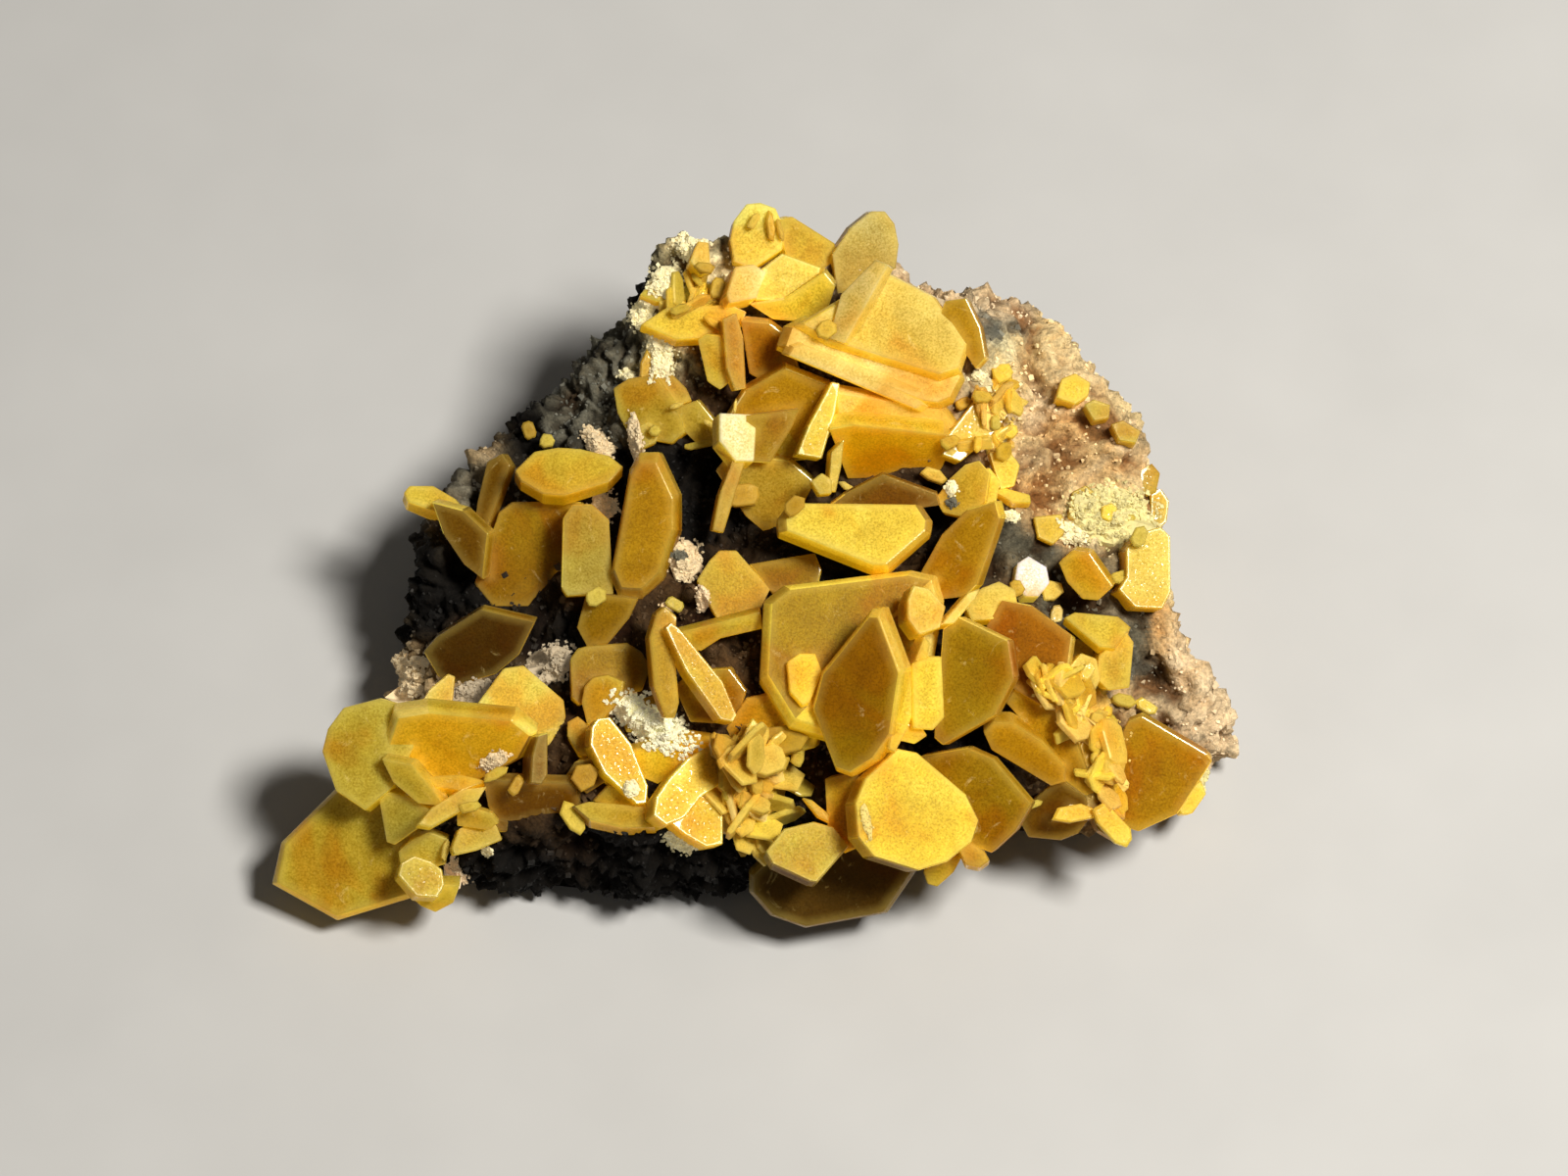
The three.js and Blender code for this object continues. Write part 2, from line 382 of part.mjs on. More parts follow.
const SUMMIT = {
  peak_plate: tablet(-3.4, [0.15, -0.05], 2.1, [
    [5.3, 19.6], [7.8, 19.9], [9.5, 21.7], [9.7, 23.4], [9.4, 24.9], [8.7, 25.8], [7.7, 25.8],
    [6.2, 24.6], [4.9, 22.7],
  ]),
  top_table: tablet(3, [0.1, 0.28], 2, [
    [4.6, 16.1], [12.6, 13.6], [14.1, 14.1], [14.7, 16], [12.3, 19.6], [8.8, 21.4], [2.2, 17.5],
  ]),
  table_step: tablet(2.6, [0.06, 0.15], 2.4, [
    [11.6, 11.7], [12.7, 11.6], [13.6, 12], [14.4, 13.6], [14, 14.6], [2.9, 18.2], [1.4, 17.4], [0.9, 16],
  ]),
  table_rim: tablet(3.2, [0.02, -0.05], 1.8, [
    [11.2, 11.1], [11.7, 11.5], [11.6, 12.7], [2.4, 16.2], [1.6, 16], [1.2, 15.3],
  ]),
  table_ridge: tablet(4.4, [-0.35, 0.2], 1.2, [
    [5.7, 16], [8.8, 21.6], [7.9, 22], [5.5, 19.6], [4.6, 16.4],
  ]),
  knob_blade: tablet(2.6, [-0.15, 0], 2, [
    [15.1, 14.2], [15.8, 15], [15.4, 17.2], [14.4, 19.3], [12.9, 19.1], [12.5, 18.1],
  ]),
  amber_left: tablet(0.4, [0, -0.3], 1.8, [
    [-0.7, 7.4], [3.1, 7.8], [5, 9.8], [5, 12.9], [1.4, 14.3], [-1.4, 12.7], [-2.9, 10.4],
  ]),
  amber_right: tablet(2, [0, -0.35], 1.7, [[5, 9.7], [12.7, 9.2], [13.9, 10.2], [13, 11.3], [4.6, 12.7]]),
  stick: tablet(3.2, [0.18, 0.08], 1.9, [
    [4.1, 7.8], [5.1, 11.2], [5.4, 13.2], [4.8, 13.3], [3.1, 10.1], [2.3, 8.1],
  ]),
  ledge_plate: tablet(2.4, [0, -0.7], 1.5, [
    [6, 6.4], [12.5, 6.6], [13.4, 8.8], [12.9, 9.5], [6.3, 10.2], [4.6, 9.9],
  ]),
  pale_square: tablet(3, [0.3, 0.25], 1.8, [[-2, 7.6], [-0.7, 7.6], [-0.5, 11], [-3.2, 11.1], [-3.2, 9.1]]),
  olive_square: tablet(2.4, [0.08, -0.08], 1.5, [
    [0.4, 7.5], [2, 10.1], [2.5, 11.4], [-1.3, 10.9], [-1.3, 7.6],
  ]),
  hanging_stick: tablet(3.4, [0.15, 0], 1.6, [
    [-2.9, 2.5], [-1.3, 7.8], [-2.2, 7.8], [-3.2, 5.2], [-3.7, 2.7],
  ]),
  amber_middle: tablet(0.8, [-0.08, -0.15], 1.7, [
    [-1.4, 3.8], [-0.1, 2.7], [2, 3.2], [3.6, 6.2], [1.8, 7.7], [-2.4, 8.3], [-3.5, 7],
  ]),
  front_table: tablet(5.6, [0.04, 0.28], 2, [
    [7.8, 0], [8.8, 0], [11.9, 2.7], [12, 3.5], [11.2, 4.7], [1.8, 4.8], [0.9, 3.6], [1, 2.7],
  ]),
  table_back: tablet(4, [-0.04, -0.15], 1.4, [
    [8.4, 3.9], [12.5, 4.5], [12.3, 5.3], [8.4, 6.7], [5.7, 5.3], [4.6, 4.5],
  ]),
  post: tablet(3.8, [0.2, 0], 1.6, [[5.1, 5.4], [5.5, 7.3], [5.7, 9.2], [4.8, 8.3], [4.6, 5.5]]),
  bridge: tablet(1.6, [0.18, 0.1], 2.6, [
    [14, 7.6], [15.8, 9.1], [17.9, 11.6], [17.5, 12.7], [15.4, 12.5], [13, 9.4], [12.7, 8.1],
  ]),
  crusted_crystal: tablet(3.2, [-0.1, 0.1], 1.7, [
    [12.7, 4], [14.4, 3.6], [15.8, 4.8], [16.1, 6.8], [15.3, 7.7], [14.3, 7.4], [13.2, 6.4], [12.2, 5],
  ]),
  peach_tab: tablet(2.4, [0.25, 0], 1.6, [
    [15.5, 5.5], [15.5, 3.4], [16.4, 3.8], [16.9, 6.2], [16.1, 7.2], [15.3, 6.9],
  ]),
  amber_plate: tablet(5, [-0.3, -0.03], 1.7, [
    [12.5, -2.2], [14.3, -2], [15.1, -1.2], [16.7, 3.6], [16.4, 4.8], [14.4, 4.2], [12.6, 2.4],
    [11.1, -0.3],
  ]),
  pebble: tablet(1.5, [0.1, 0.1], 1.4, [[16.9, 5.7], [17.9, 5.9], [18.3, 7.4], [17.5, 8.5], [16.1, 8.3]]),
  ledge_stub: tablet(3, [0.1, -0.3], 1.2, [[13.9, 8.3], [16.3, 8.5], [16.2, 9.3], [13.7, 9]]),
  orange_bud: tablet(4.8, [0.1, 0.1], 1.4, [[3.9, 5.2], [4.8, 5.3], [4.8, 6.3], [4.1, 6.8], [3.3, 6.2]]),
};

const RIGHT_EDGE = {
  edge_blob: tablet(0.6, [0.1, 0.1], 1.4, [
    [19.6, 2.2], [20.7, 1.7], [21.8, 2.8], [21.3, 3.9], [19.3, 3.7],
  ]),
  crust_tab: tablet(-0.5, [0.1, 0.1], 1.4, [[22.8, 3.4], [23.9, 5.3], [23.1, 6], [22.1, 5.5], [21.8, 3.6]]),
  edge_crystal: tablet(-2.2, [0.1, 0.2], 2.2, [
    [22.4, 11.8], [23.3, 12.4], [23.5, 13.4], [22.4, 14.1], [21.4, 13.7], [21, 12.3],
  ]),
  edge_middle: tablet(-1.6, [0.1, 0.2], 2, [
    [23.7, 10.6], [24.8, 10.8], [24.9, 11.8], [23.7, 12.2], [23, 11.8],
  ]),
  edge_lower: tablet(-1.6, [0.1, 0.2], 2, [
    [25.5, 9.2], [26.7, 9], [27.1, 9.9], [25.8, 10.7], [24.9, 10.4],
  ]),
  edge_scale: tablet(-3.4, [0.2, 0.1], 1.8, [
    [27.6, 5.2], [28.3, 5.5], [28.6, 6.9], [28, 7.6], [27.2, 7.1], [27.2, 5.9],
  ]),
  edge_olive: tablet(-4.2, [0.2, 0.1], 1.8, [
    [28.6, 2.9], [29.1, 3.4], [29.3, 4.9], [28.7, 5.8], [27.9, 5.4], [27.9, 3.5],
  ]),
  yellow_tongue: tablet(1.7, [0.1, 0.3], 1.2, [
    [17.8, 4.7], [19.1, 4.7], [19, 5.3], [17.1, 5.8], [16.5, 5.5],
  ]),
};

const TABLETS = {
  ...LEFT_TIP, ...FRONT_LEFT, ...CENTRE, ...RIGHT_SIDE, ...LEFT_SLOPE, ...TOP_LEFT, ...SUMMIT, ...RIGHT_EDGE,
};

// A closed solid from a geometry whose shared corners are merged first.
function solidFrom(geometry) {
  const bare = new THREE.BufferGeometry();
  bare.setAttribute("position", geometry.getAttribute("position"));
  bare.setIndex(geometry.getIndex());
  const merged = mergeVertices(bare, 1e-4);
  return new wasm.Manifold(new wasm.Mesh({
    numProp: 3,
    vertProperties: new Float32Array(merged.getAttribute("position").array),
    triVerts: new Uint32Array(merged.getIndex().array),
  }));
}

function geometryFrom(solid) {
  const mesh = solid.getMesh();
  const geometry = new THREE.BufferGeometry();
  geometry.setAttribute("position", new THREE.BufferAttribute(mesh.vertProperties, 3));
  geometry.setIndex(new THREE.BufferAttribute(mesh.triVerts, 1));
  geometry.computeVertexNormals();
  return geometry;
}

// Two triangles for each side between two rings of equally many points.
function bandFaces(above, below, sides) {
  return Array.from({ length: sides }, (_, side) => {
    const next = (side + 1) % sides;
    return [above + side, below + side, above + next, above + next, below + side, below + next];
  }).flat();
}

// One triangle for each side of a ring, to a point in its middle.
function capFaces(middle, ring, sides, looksUp) {
  return Array.from({ length: sides }, (_, side) => {
    const next = (side + 1) % sides;
    return looksUp ? [middle, ring + side, ring + next] : [middle, ring + next, ring + side];
  }).flat();
}

function meshGeometry(points, faces) {
  const geometry = new THREE.BufferGeometry();
  geometry.setAttribute("position", new THREE.Float32BufferAttribute(points.flatMap((p) => p.toArray()), 3));
  geometry.setIndex(faces);
  return geometry;
}

// Skin over rings of equally many points, closed by a flat or pointed cap at each end.
function lofted(rings, topPoint, footPoint) {
  const sides = rings[0].length;
  const points = [...rings.flat(), topPoint, footPoint];
  const last = (rings.length - 1) * sides;
  const faces = [
    ...capFaces(points.length - 2, 0, sides, true),
    ...capFaces(points.length - 1, last, sides, false),
  ];
  for (let start = 0; start < last; start += sides) {
    faces.push(...bandFaces(start, start + sides, sides));
  }
  return meshGeometry(points, faces);
}

// Smooth seeded noise in space, from -1 to 1.
function hash(x, y, z) {
  const mixed = Math.sin(x * 127.1 + y * 311.7 + z * 74.7 + ROCK_NOISE_SEED) * 43758.5453;
  return 2 * (mixed - Math.floor(mixed)) - 1;
}

function noise(point, size) {
  const cell = point.clone().divideScalar(size);
  const base = cell.clone().floor();
  const part = cell.sub(base);
  const ease = (t) => t * t * (3 - 2 * t);
  let total = 0;
  for (const dx of [0, 1]) {
    for (const dy of [0, 1]) {
      for (const dz of [0, 1]) {
        const corner = [dx ? part.x : 1 - part.x, dy ? part.y : 1 - part.y, dz ? part.z : 1 - part.z];
        const weight = corner.map(ease).reduce((product, value) => product * value);
        total += weight * hash(base.x + dx, base.y + dy, base.z + dz);
      }
    }
  }
  return total;
}

// Height of the rock over a place in plan, drawn towards its nearest lumps and hollows.
function rockHeight(x, y) {
  let weights = 0;
  let total = 0;
  for (const [lumpX, lumpY, lumpZ] of ROCK_LUMPS) {
    const weight = 1 / ((x - lumpX) ** 2 + (y - lumpY) ** 2 + LUMP_SPREAD) ** LUMP_FALLOFF;
    weights += weight;
    total += weight * lumpZ;
  }
  return total / weights;
}

// Reach of the plan outline in a direction, eased between the given reaches.
function rockReach(turn) {
  const step = (turn / (2 * Math.PI)) * ROCK_REACH.length;
  const before = Math.floor(step);
  const share = step - before;
  const here = ROCK_REACH[before % ROCK_REACH.length];
  const there = ROCK_REACH[(before + 1) % ROCK_REACH.length];
  return here + (there - here) * share * share * (3 - 2 * share);
}

// A point of the rock's skin. Its foot ring stays flat, and swell moves the skin outwards.
function rockPoint(turn, reachShare, heightShare, swell) {
  const reach = rockReach(turn) * reachShare;
  const x = reach * Math.cos(turn);
  const y = reach * Math.sin(turn);
  if (heightShare === 0) {
    return new THREE.Vector3(x, y, -swell);
  }
  const point = new THREE.Vector3(x, y, rockHeight(x, y) * heightShare);
  const lump = ROCK_LUMP_RISE * noise(point, ROCK_LUMP_SIZE);
  const grain = ROCK_GRAIN_RISE * noise(point, ROCK_GRAIN_SIZE);
  const outward = new THREE.Vector3(x * SIDEWAYS_SWELL, y * SIDEWAYS_SWELL, heightShare).normalize();
  return point.addScaledVector(outward, lump + grain + swell);
}

function rockRing(sides, reachShare, heightShare, swell) {
  return Array.from({ length: sides }, (_, side) => (
    rockPoint((side / sides) * 2 * Math.PI, reachShare, heightShare, swell)
  ));
}

// The rock's top is six sectors of even triangles around its middle, and its side is rings of
// as many points as the top's rim.
function rockGeometry(swell) {
  const points = [rockPoint(0, 0, 1, swell)];
  const faces = [];
  let inner = 0;
  for (let step = 1; step <= ROCK_STEPS; step += 1) {
    const outer = points.length;
    const innerSides = Math.max(1, 6 * (step - 1));
    points.push(...rockRing(6 * step, (ROCK_TOP_SHARE * step) / ROCK_STEPS, 1, swell));
    for (let sector = 0; sector < 6; sector += 1) {
      for (let place = 0; place < step; place += 1) {
        const first = outer + sector * step + place;
        const second = outer + ((sector * step + place + 1) % (6 * step));
        const near = inner + ((sector * (step - 1) + place) % innerSides);
        faces.push(first, second, near);
        if (place < step - 1) {
          faces.push(near, second, inner + ((sector * (step - 1) + place + 1) % innerSides));
        }
      }
    }
    inner = outer;
  }
  const sides = 6 * ROCK_STEPS;
  for (const [reachShare, heightShare] of ROCK_SIDE_RINGS) {
    faces.push(...bandFaces(inner, points.length, sides));
    inner = points.length;
    points.push(...rockRing(sides, reachShare, heightShare, swell));
  }
  faces.push(...capFaces(points.length, inner, sides, false));
  points.push(new THREE.Vector3(0, 0, -swell));
  return meshGeometry(points, faces);
}

// A tablet has a flat face, straight edges, and a root that narrows into what it grows on.
// The flat face of a large one is bevelled.
function tabletGeometry({ out, face, thick, outline, root }) {
  const [faceRight, faceUp] = face;
  const facing = new THREE.Vector3(faceRight, faceUp, Math.sqrt(1 - faceRight ** 2 - faceUp ** 2));
  const corners = outline.map(([right, up]) => new THREE.Vector3(right, up, 0));
  const middle = corners.reduce((sum, corner) => sum.add(corner), new THREE.Vector3());
  middle.divideScalar(corners.length);
  middle.z = out + thick / 2;
  for (const corner of corners) {
    corner.z = middle.z - (faceRight * (corner.x - middle.x) + faceUp * (corner.y - middle.y)) / facing.z;
  }
  const reach = Math.max(...corners.map((corner) => corner.distanceTo(middle)));
  const bevel = reach > LARGE_REACH ? BEVEL_SHARE * thick : 0;
  const ring = (depth, scale) => corners.map((corner) => (
    corner.clone().lerp(middle, 1 - scale).addScaledVector(facing, -depth)
  ));
  const rings = [ring(bevel, 1), ring(thick, 1)];
  if (bevel > 0) {
    rings.unshift(ring(0, 1 - bevel / reach));
  }
  const footPoint = middle.clone().addScaledVector(facing, -thick - root);
  return lofted(rings, middle, footPoint);
}

// Crystals that overlap are joined in one solid, named after the crystal that gives it most.
function crystalClusters(rockInSlope) {
  const names = Object.keys(TABLETS);
  const solids = names.map((name) => solidFrom(tabletGeometry(TABLETS[name])));
  const joined = solids.reduce((whole, solid) => whole.add(solid)).subtract(rockInSlope);
  const pieces = joined.decompose().filter((piece) => piece.volume() > SMALLEST_PIECE);
  return pieces.map((piece) => {
    const shares = solids.map((solid) => piece.intersect(solid).volume());
    const members = shares.filter((share) => share > 0.5 * SMALLEST_PIECE).length;
    const main = names[shares.indexOf(Math.max(...shares))];
    return { name: members > 1 ? `${main}_cluster` : main, piece };
  });
}

function rockMesh() {
  const material = new THREE.MeshStandardMaterial({ color: ROCK_COLOUR, roughness: 0.9, metalness: 0 });
  const mesh = new THREE.Mesh(rockGeometry(0), material);
  mesh.name = "matrix";
  return mesh;
}

function crystalMesh({ name, piece }, index) {
  const color = CRYSTAL_COLOURS[index % CRYSTAL_COLOURS.length];
  const material = new THREE.MeshStandardMaterial({ color, roughness: 0.35, metalness: 0 });
  const mesh = new THREE.Mesh(geometryFrom(piece), material);
  mesh.name = name;
  return mesh;
}

const slope = new THREE.Group();
slope.position.z = SLOPE_HEIGHT;
slope.rotation.x = THREE.MathUtils.degToRad(SLOPE_TILT_DEG);
slope.updateMatrixWorld();
const rockInSlope = solidFrom(rockGeometry(CRYSTAL_GAP).applyMatrix4(slope.matrixWorld.clone().invert()));
slope.add(...crystalClusters(rockInSlope).map(crystalMesh));

const specimen = new THREE.Group();
specimen.add(rockMesh(), slope);

export default specimen;
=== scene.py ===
import math
import random
from collections import namedtuple

import bmesh
import bpy
from mathutils import Euler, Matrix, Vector, noise
from mathutils.bvhtree import BVHTree
from mathutils.kdtree import KDTree


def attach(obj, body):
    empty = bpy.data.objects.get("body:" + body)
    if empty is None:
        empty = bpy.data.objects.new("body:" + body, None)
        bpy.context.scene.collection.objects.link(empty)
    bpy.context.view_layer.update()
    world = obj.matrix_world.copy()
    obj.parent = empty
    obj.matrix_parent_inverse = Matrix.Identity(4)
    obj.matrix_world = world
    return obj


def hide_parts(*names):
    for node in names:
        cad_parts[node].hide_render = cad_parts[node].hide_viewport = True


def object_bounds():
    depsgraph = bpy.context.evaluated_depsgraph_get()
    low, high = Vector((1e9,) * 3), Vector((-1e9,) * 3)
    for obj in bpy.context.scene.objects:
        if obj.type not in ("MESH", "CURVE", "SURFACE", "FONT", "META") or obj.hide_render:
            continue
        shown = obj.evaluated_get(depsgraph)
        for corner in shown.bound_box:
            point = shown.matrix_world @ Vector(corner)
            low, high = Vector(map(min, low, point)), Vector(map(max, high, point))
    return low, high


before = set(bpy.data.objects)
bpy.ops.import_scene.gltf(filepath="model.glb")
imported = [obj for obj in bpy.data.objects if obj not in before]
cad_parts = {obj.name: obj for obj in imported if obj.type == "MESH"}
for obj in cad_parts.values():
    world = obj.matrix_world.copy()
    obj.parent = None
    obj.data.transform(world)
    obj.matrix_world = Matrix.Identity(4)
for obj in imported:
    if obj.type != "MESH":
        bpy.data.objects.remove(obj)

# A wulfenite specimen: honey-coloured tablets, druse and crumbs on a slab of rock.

cad_low, cad_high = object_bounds()

MM = 0.001

# The crystals grow on the sloping upper side of the rock. Places on it are millimetres to the
# right, up the slope, and out of it.
SLOPE_TILT = math.radians(30)
SLOPE_HEIGHT = 14 * MM
RIGHT = Vector((1, 0, 0))
UP = Vector((0, math.cos(SLOPE_TILT), math.sin(SLOPE_TILT)))
OUT = Vector((0, -math.sin(SLOPE_TILT), math.cos(SLOPE_TILT)))
ABOVE_ALL = 40

# Camera: it looks straight down on the slope.
CAMERA_AIM = (1.4, -1.4, 3)
CAMERA_DISTANCE = 500 * MM
VIEW_WIDTH = 112 * MM
SENSOR_WIDTH = 36
CLIP_START = 10 * MM

# Rock. Its finer triangles, before it is roughened.
ROCK_CUTS = 11
ROCK_SMOOTHING = 6
# How far the rock swells towards a crystal, and the distances over which that ends.
ROCK_SEAL = 0.5
ROCK_SEAL_REACH = (0.5, 1.6)
# The share of the relief that is left beside a crystal, and where it is full again.
ROCK_RELIEF_NEAR = 0.3
ROCK_CLEARANCE = (0.1, 1.5)
# Rock that lies over a crystal's face in a thinner skin than this is sunk just under the face.
ROCK_SKIN = 1.3
ROCK_SUNK = 0.15
FACING_OUT = 0.2
# Sizes and heights of the swells, the ledges and the lumps, and how a ridge follows the noise.
ROCK_SWELL = (5.4, 1.0)
ROCK_LEDGES = (2.9, 0.95)
ROCK_LUMPS = [(1.5, 0.7), (0.8, 0.5)]
RIDGE_GAIN = 2.2
RIDGE_LEVEL = 0.7
# The height where the relief, which starts at the flat underside, is full. Vertices under the second
# height are the underside, and all others stay over the third.
ROCK_FOOT = 1.5
FOOT_HEIGHT = 0.01 * MM
SKIN_HEIGHT = 0.02 * MM
# Painted shade in the hollows: the shade of the middle of the relief, and how it rises with the relief.
PAINTED_HOLLOW_SHADE = (0.45, 0.4)
# Size and reach of the wander of the rock's colours, its stains and its painted shade alike, and how sharp
# their borders are.
ROCK_TINT_WANDER = (3.4, 2.4)
ROCK_TINT_OFFSET = Vector((7, 3, 5))
ROCK_TINT_SHARPNESS = 2.2

# Crystals. Points this near are one, and faces this flat are one.
MERGE_DISTANCE = 0.01 * MM
TINY_EDGE = 0.02 * MM
FLAT_ANGLE = math.radians(1.2)
SHARP_EDGE = math.radians(28)
BEVEL_WIDTH = 0.1 * MM
BEVEL_ROOM = 2.3
LONGEST_EDGE = 0.75 * MM
REFINE_ROUNDS = 5
# Pale rims, a painted highlight along the sharp outer edges: steps along an edge, how far they reach in,
# and how pale they are.
RIM_STEP = 0.3 * MM
RIM_WIDTH = (0.05, 0.7)
RIM_HIGHLIGHT = 0.7
SMALL_RIM_HIGHLIGHT = 0.6
# Where the painted shade in the deep middle of a face, the painted shade at the root and the painted glow
# of the lower sides begin and end.
HEART_SHADE_WIDTH = (0.6, 3.2)
ROOT_SHADE_REACH = (0.2, 3.0)
LOWER_SIDES = (0.15, 0.8)
FACE_SHARPNESS = 3
WHITE_NODE = "white_flake"


def on_slope(right, up, out=0.0):
    return Vector((0, 0, SLOPE_HEIGHT)) + (RIGHT * right + UP * up + OUT * out) * MM


def slope_place(point):
    """How far right and up the slope a point is, in millimetres."""
    offset = point - Vector((0, 0, SLOPE_HEIGHT))
    return offset.dot(RIGHT) / MM, offset.dot(UP) / MM


def smooth_step(value, low, high):
    share = min(1.0, max(0.0, (value - low) / (high - low)))
    return share * share * (3 - 2 * share)


# Colours of crystals, rock and crumbs, as linear red, green and blue.
PALE = (0.76, 0.57, 0.09)
FROST_AND_SHEEN_STRIP = (0.91, 0.71, 0.22)
HONEY = (0.64, 0.48, 0.045)
GOLD = (0.84, 0.65, 0.07)
YELLOW = (0.86, 0.64, 0.05)
AMBER = (0.46, 0.25, 0.006)
ORANGE = (0.68, 0.42, 0.02)
OLIVE = (0.355, 0.21, 0.004)
UMBER = (0.17, 0.08, 0.003)
SHADOW_DUSK = (0.075, 0.035, 0.003)
SUNNY = (0.98, 0.76, 0.06)
LEMON = (0.9, 0.82, 0.15)
DUN = (0.78, 0.62, 0.38)
IVORY = (1.0, 0.96, 0.68)
FAWN = (0.5, 0.41, 0.28)
PARCHMENT = (0.92, 0.82, 0.38)
FROST = (0.56, 0.46, 0.13)
EMBER = (0.38, 0.14, 0.003)
KHAKI = (0.54, 0.43, 0.05)
BUFF = (0.74, 0.58, 0.18)
APRICOT = (0.86, 0.6, 0.14)
WHITE = (1.0, 1.0, 1.1)
PEACH = (0.98, 0.76, 0.4)
PINK = (0.95, 0.74, 0.47)
TAN = (0.7, 0.52, 0.29)
RUST = (0.85, 0.55, 0.24)
CREAM = (0.97, 0.87, 0.53)
SULPHUR = (0.78, 0.69, 0.32)
SLATE = (0.15, 0.14, 0.1)
GREY = (0.17, 0.165, 0.13)
BLACK = (0.006, 0.005, 0.004)
BROWN = (0.09, 0.05, 0.02)

# What a crystal's colour is multiplied by at its root, as painted shade, and on the sides that look down
# the slope, as a painted glow that makes them fuller.
ROOT_SHADE_TINT = (0.8, 0.66, 0.45)
LOWER_SIDE_GLOW_TINT = (1.04, 0.98, 0.4)

# Where each colour of crystal grows, right and up the slope. The darkest is painted shade on plates that
# lie in shadow, and the pale strip is frosting brightened as a painted sheen.
CRYSTAL_TINTS = [
    (SUNNY, [(4, -3), (2.8, -7.8), (-6.3, -13.3), (-6.5, -13.7)]),
    # Painted shade: this darkest colour stands on plates that lie in shadow.
    (SHADOW_DUSK, [(5, -23), (8, -23.5), (2, -22.5), (-20.4, -5.7), (-21.7, -4.5)]),
    (EMBER, [(18.9, -5.6), (19, -7)]),
    (PALE, [(15.4, 10.2), (22.4, -8.7), (27.3, 0), (16.2, -2.3), (-12.9, -12.4), (9.5, 17.2),
            (13.5, 14.5), (-23.2, -10), (11.4, -2.9)]),
    (LEMON, [(-13.2, 1.3), (-17.6, -9.6), (-16.6, -10.4), (-0.6, 24), (0.7, 24.5), (-5.4, -15.3)]),
    # Painted sheen: the large table's pale front strip, its frosting brightened.
    (FROST_AND_SHEEN_STRIP, [(6.6, 13.7), (3.6, 15.2), (9.6, 12.2)]),
    (GOLD, [(6.3, 2.8), (-10.2, -13.7), (-24.2, 5.4), (-24.6, 4.8)]),
    (HONEY, [(-14, 6.9), (23.7, -4.3), (-2.2, -1.3), (-21.8, -10.2), (-10.2, -17.5), (3.1, 23.3),
             (-11.5, -9.2), (-20.3, -11.4), (-29.8, -20.5), (-29, -22), (-5, -6.5), (-3.5, -9),
             (-4.5, -8.2)]),
    (YELLOW, [(10.8, -17.2), (11.6, -8.8), (2.2, 19.2), (-5.1, 17.7), (-1, -12), (30.7, -16.5),
              (17.9, 5.2), (22.3, 13), (-4.6, -17.9), (-7.6, 20.1), (4.5, 11.6), (9, 10.3)]),
    (ORANGE, [(-21.8, -12.8), (12.5, 16.3), (9, 8.3), (5.2, -16.5), (24.5, 0.2)]),
    (AMBER, [(-7.4, -7), (-6.8, -8.5), (-8.4, 3), (28, -14.7), (28.7, -15.4), (0.4, 15.4), (1.2, 10.6),
             (14, 1.3), (20.3, -12.5), (14.2, 16.8), (-9.5, 4.5), (17.2, -12), (0.1, 5.5),
             (18.5, -13.2), (9, 9.4)]),
    (OLIVE, [(6.4, -8.8), (14.8, -8), (0.5, 9.4), (-20, 2), (-11, -7.5), (-11.2, -3.6), (1.5, -0.4),
             (16.5, -16), (-3.8, -9.2), (-1.5, -13.5), (-8.6, 1), (-17.3, 1.2), (-17, -0.5)]),
    (UMBER, [(-21.7, 2.1), (20.8, -17.4), (-16.3, -17), (9, 5.9), (-19.7, 5.2), (-13.5, -16.5),
             (-10.7, -0.6), (-17, -13.7)]),
    (KHAKI, [(3.1, -20), (-28, -13.1), (-8.3, 11.5), (-4.7, 10.4), (-25.8, -17.6), (-20.4, -19.2),
             (-24.4, -21.9), (0.6, 7.2), (3.3, 9.5), (25.8, 9.5), (23.9, 11.3)]),
    (BUFF, [(8.6, 19.4), (12.2, 15.8)]),
    (PARCHMENT, [(-1.9, 9.6), (-1.4, 20.5)]),
    (FROST, [(7.3, 22.7)]),
]

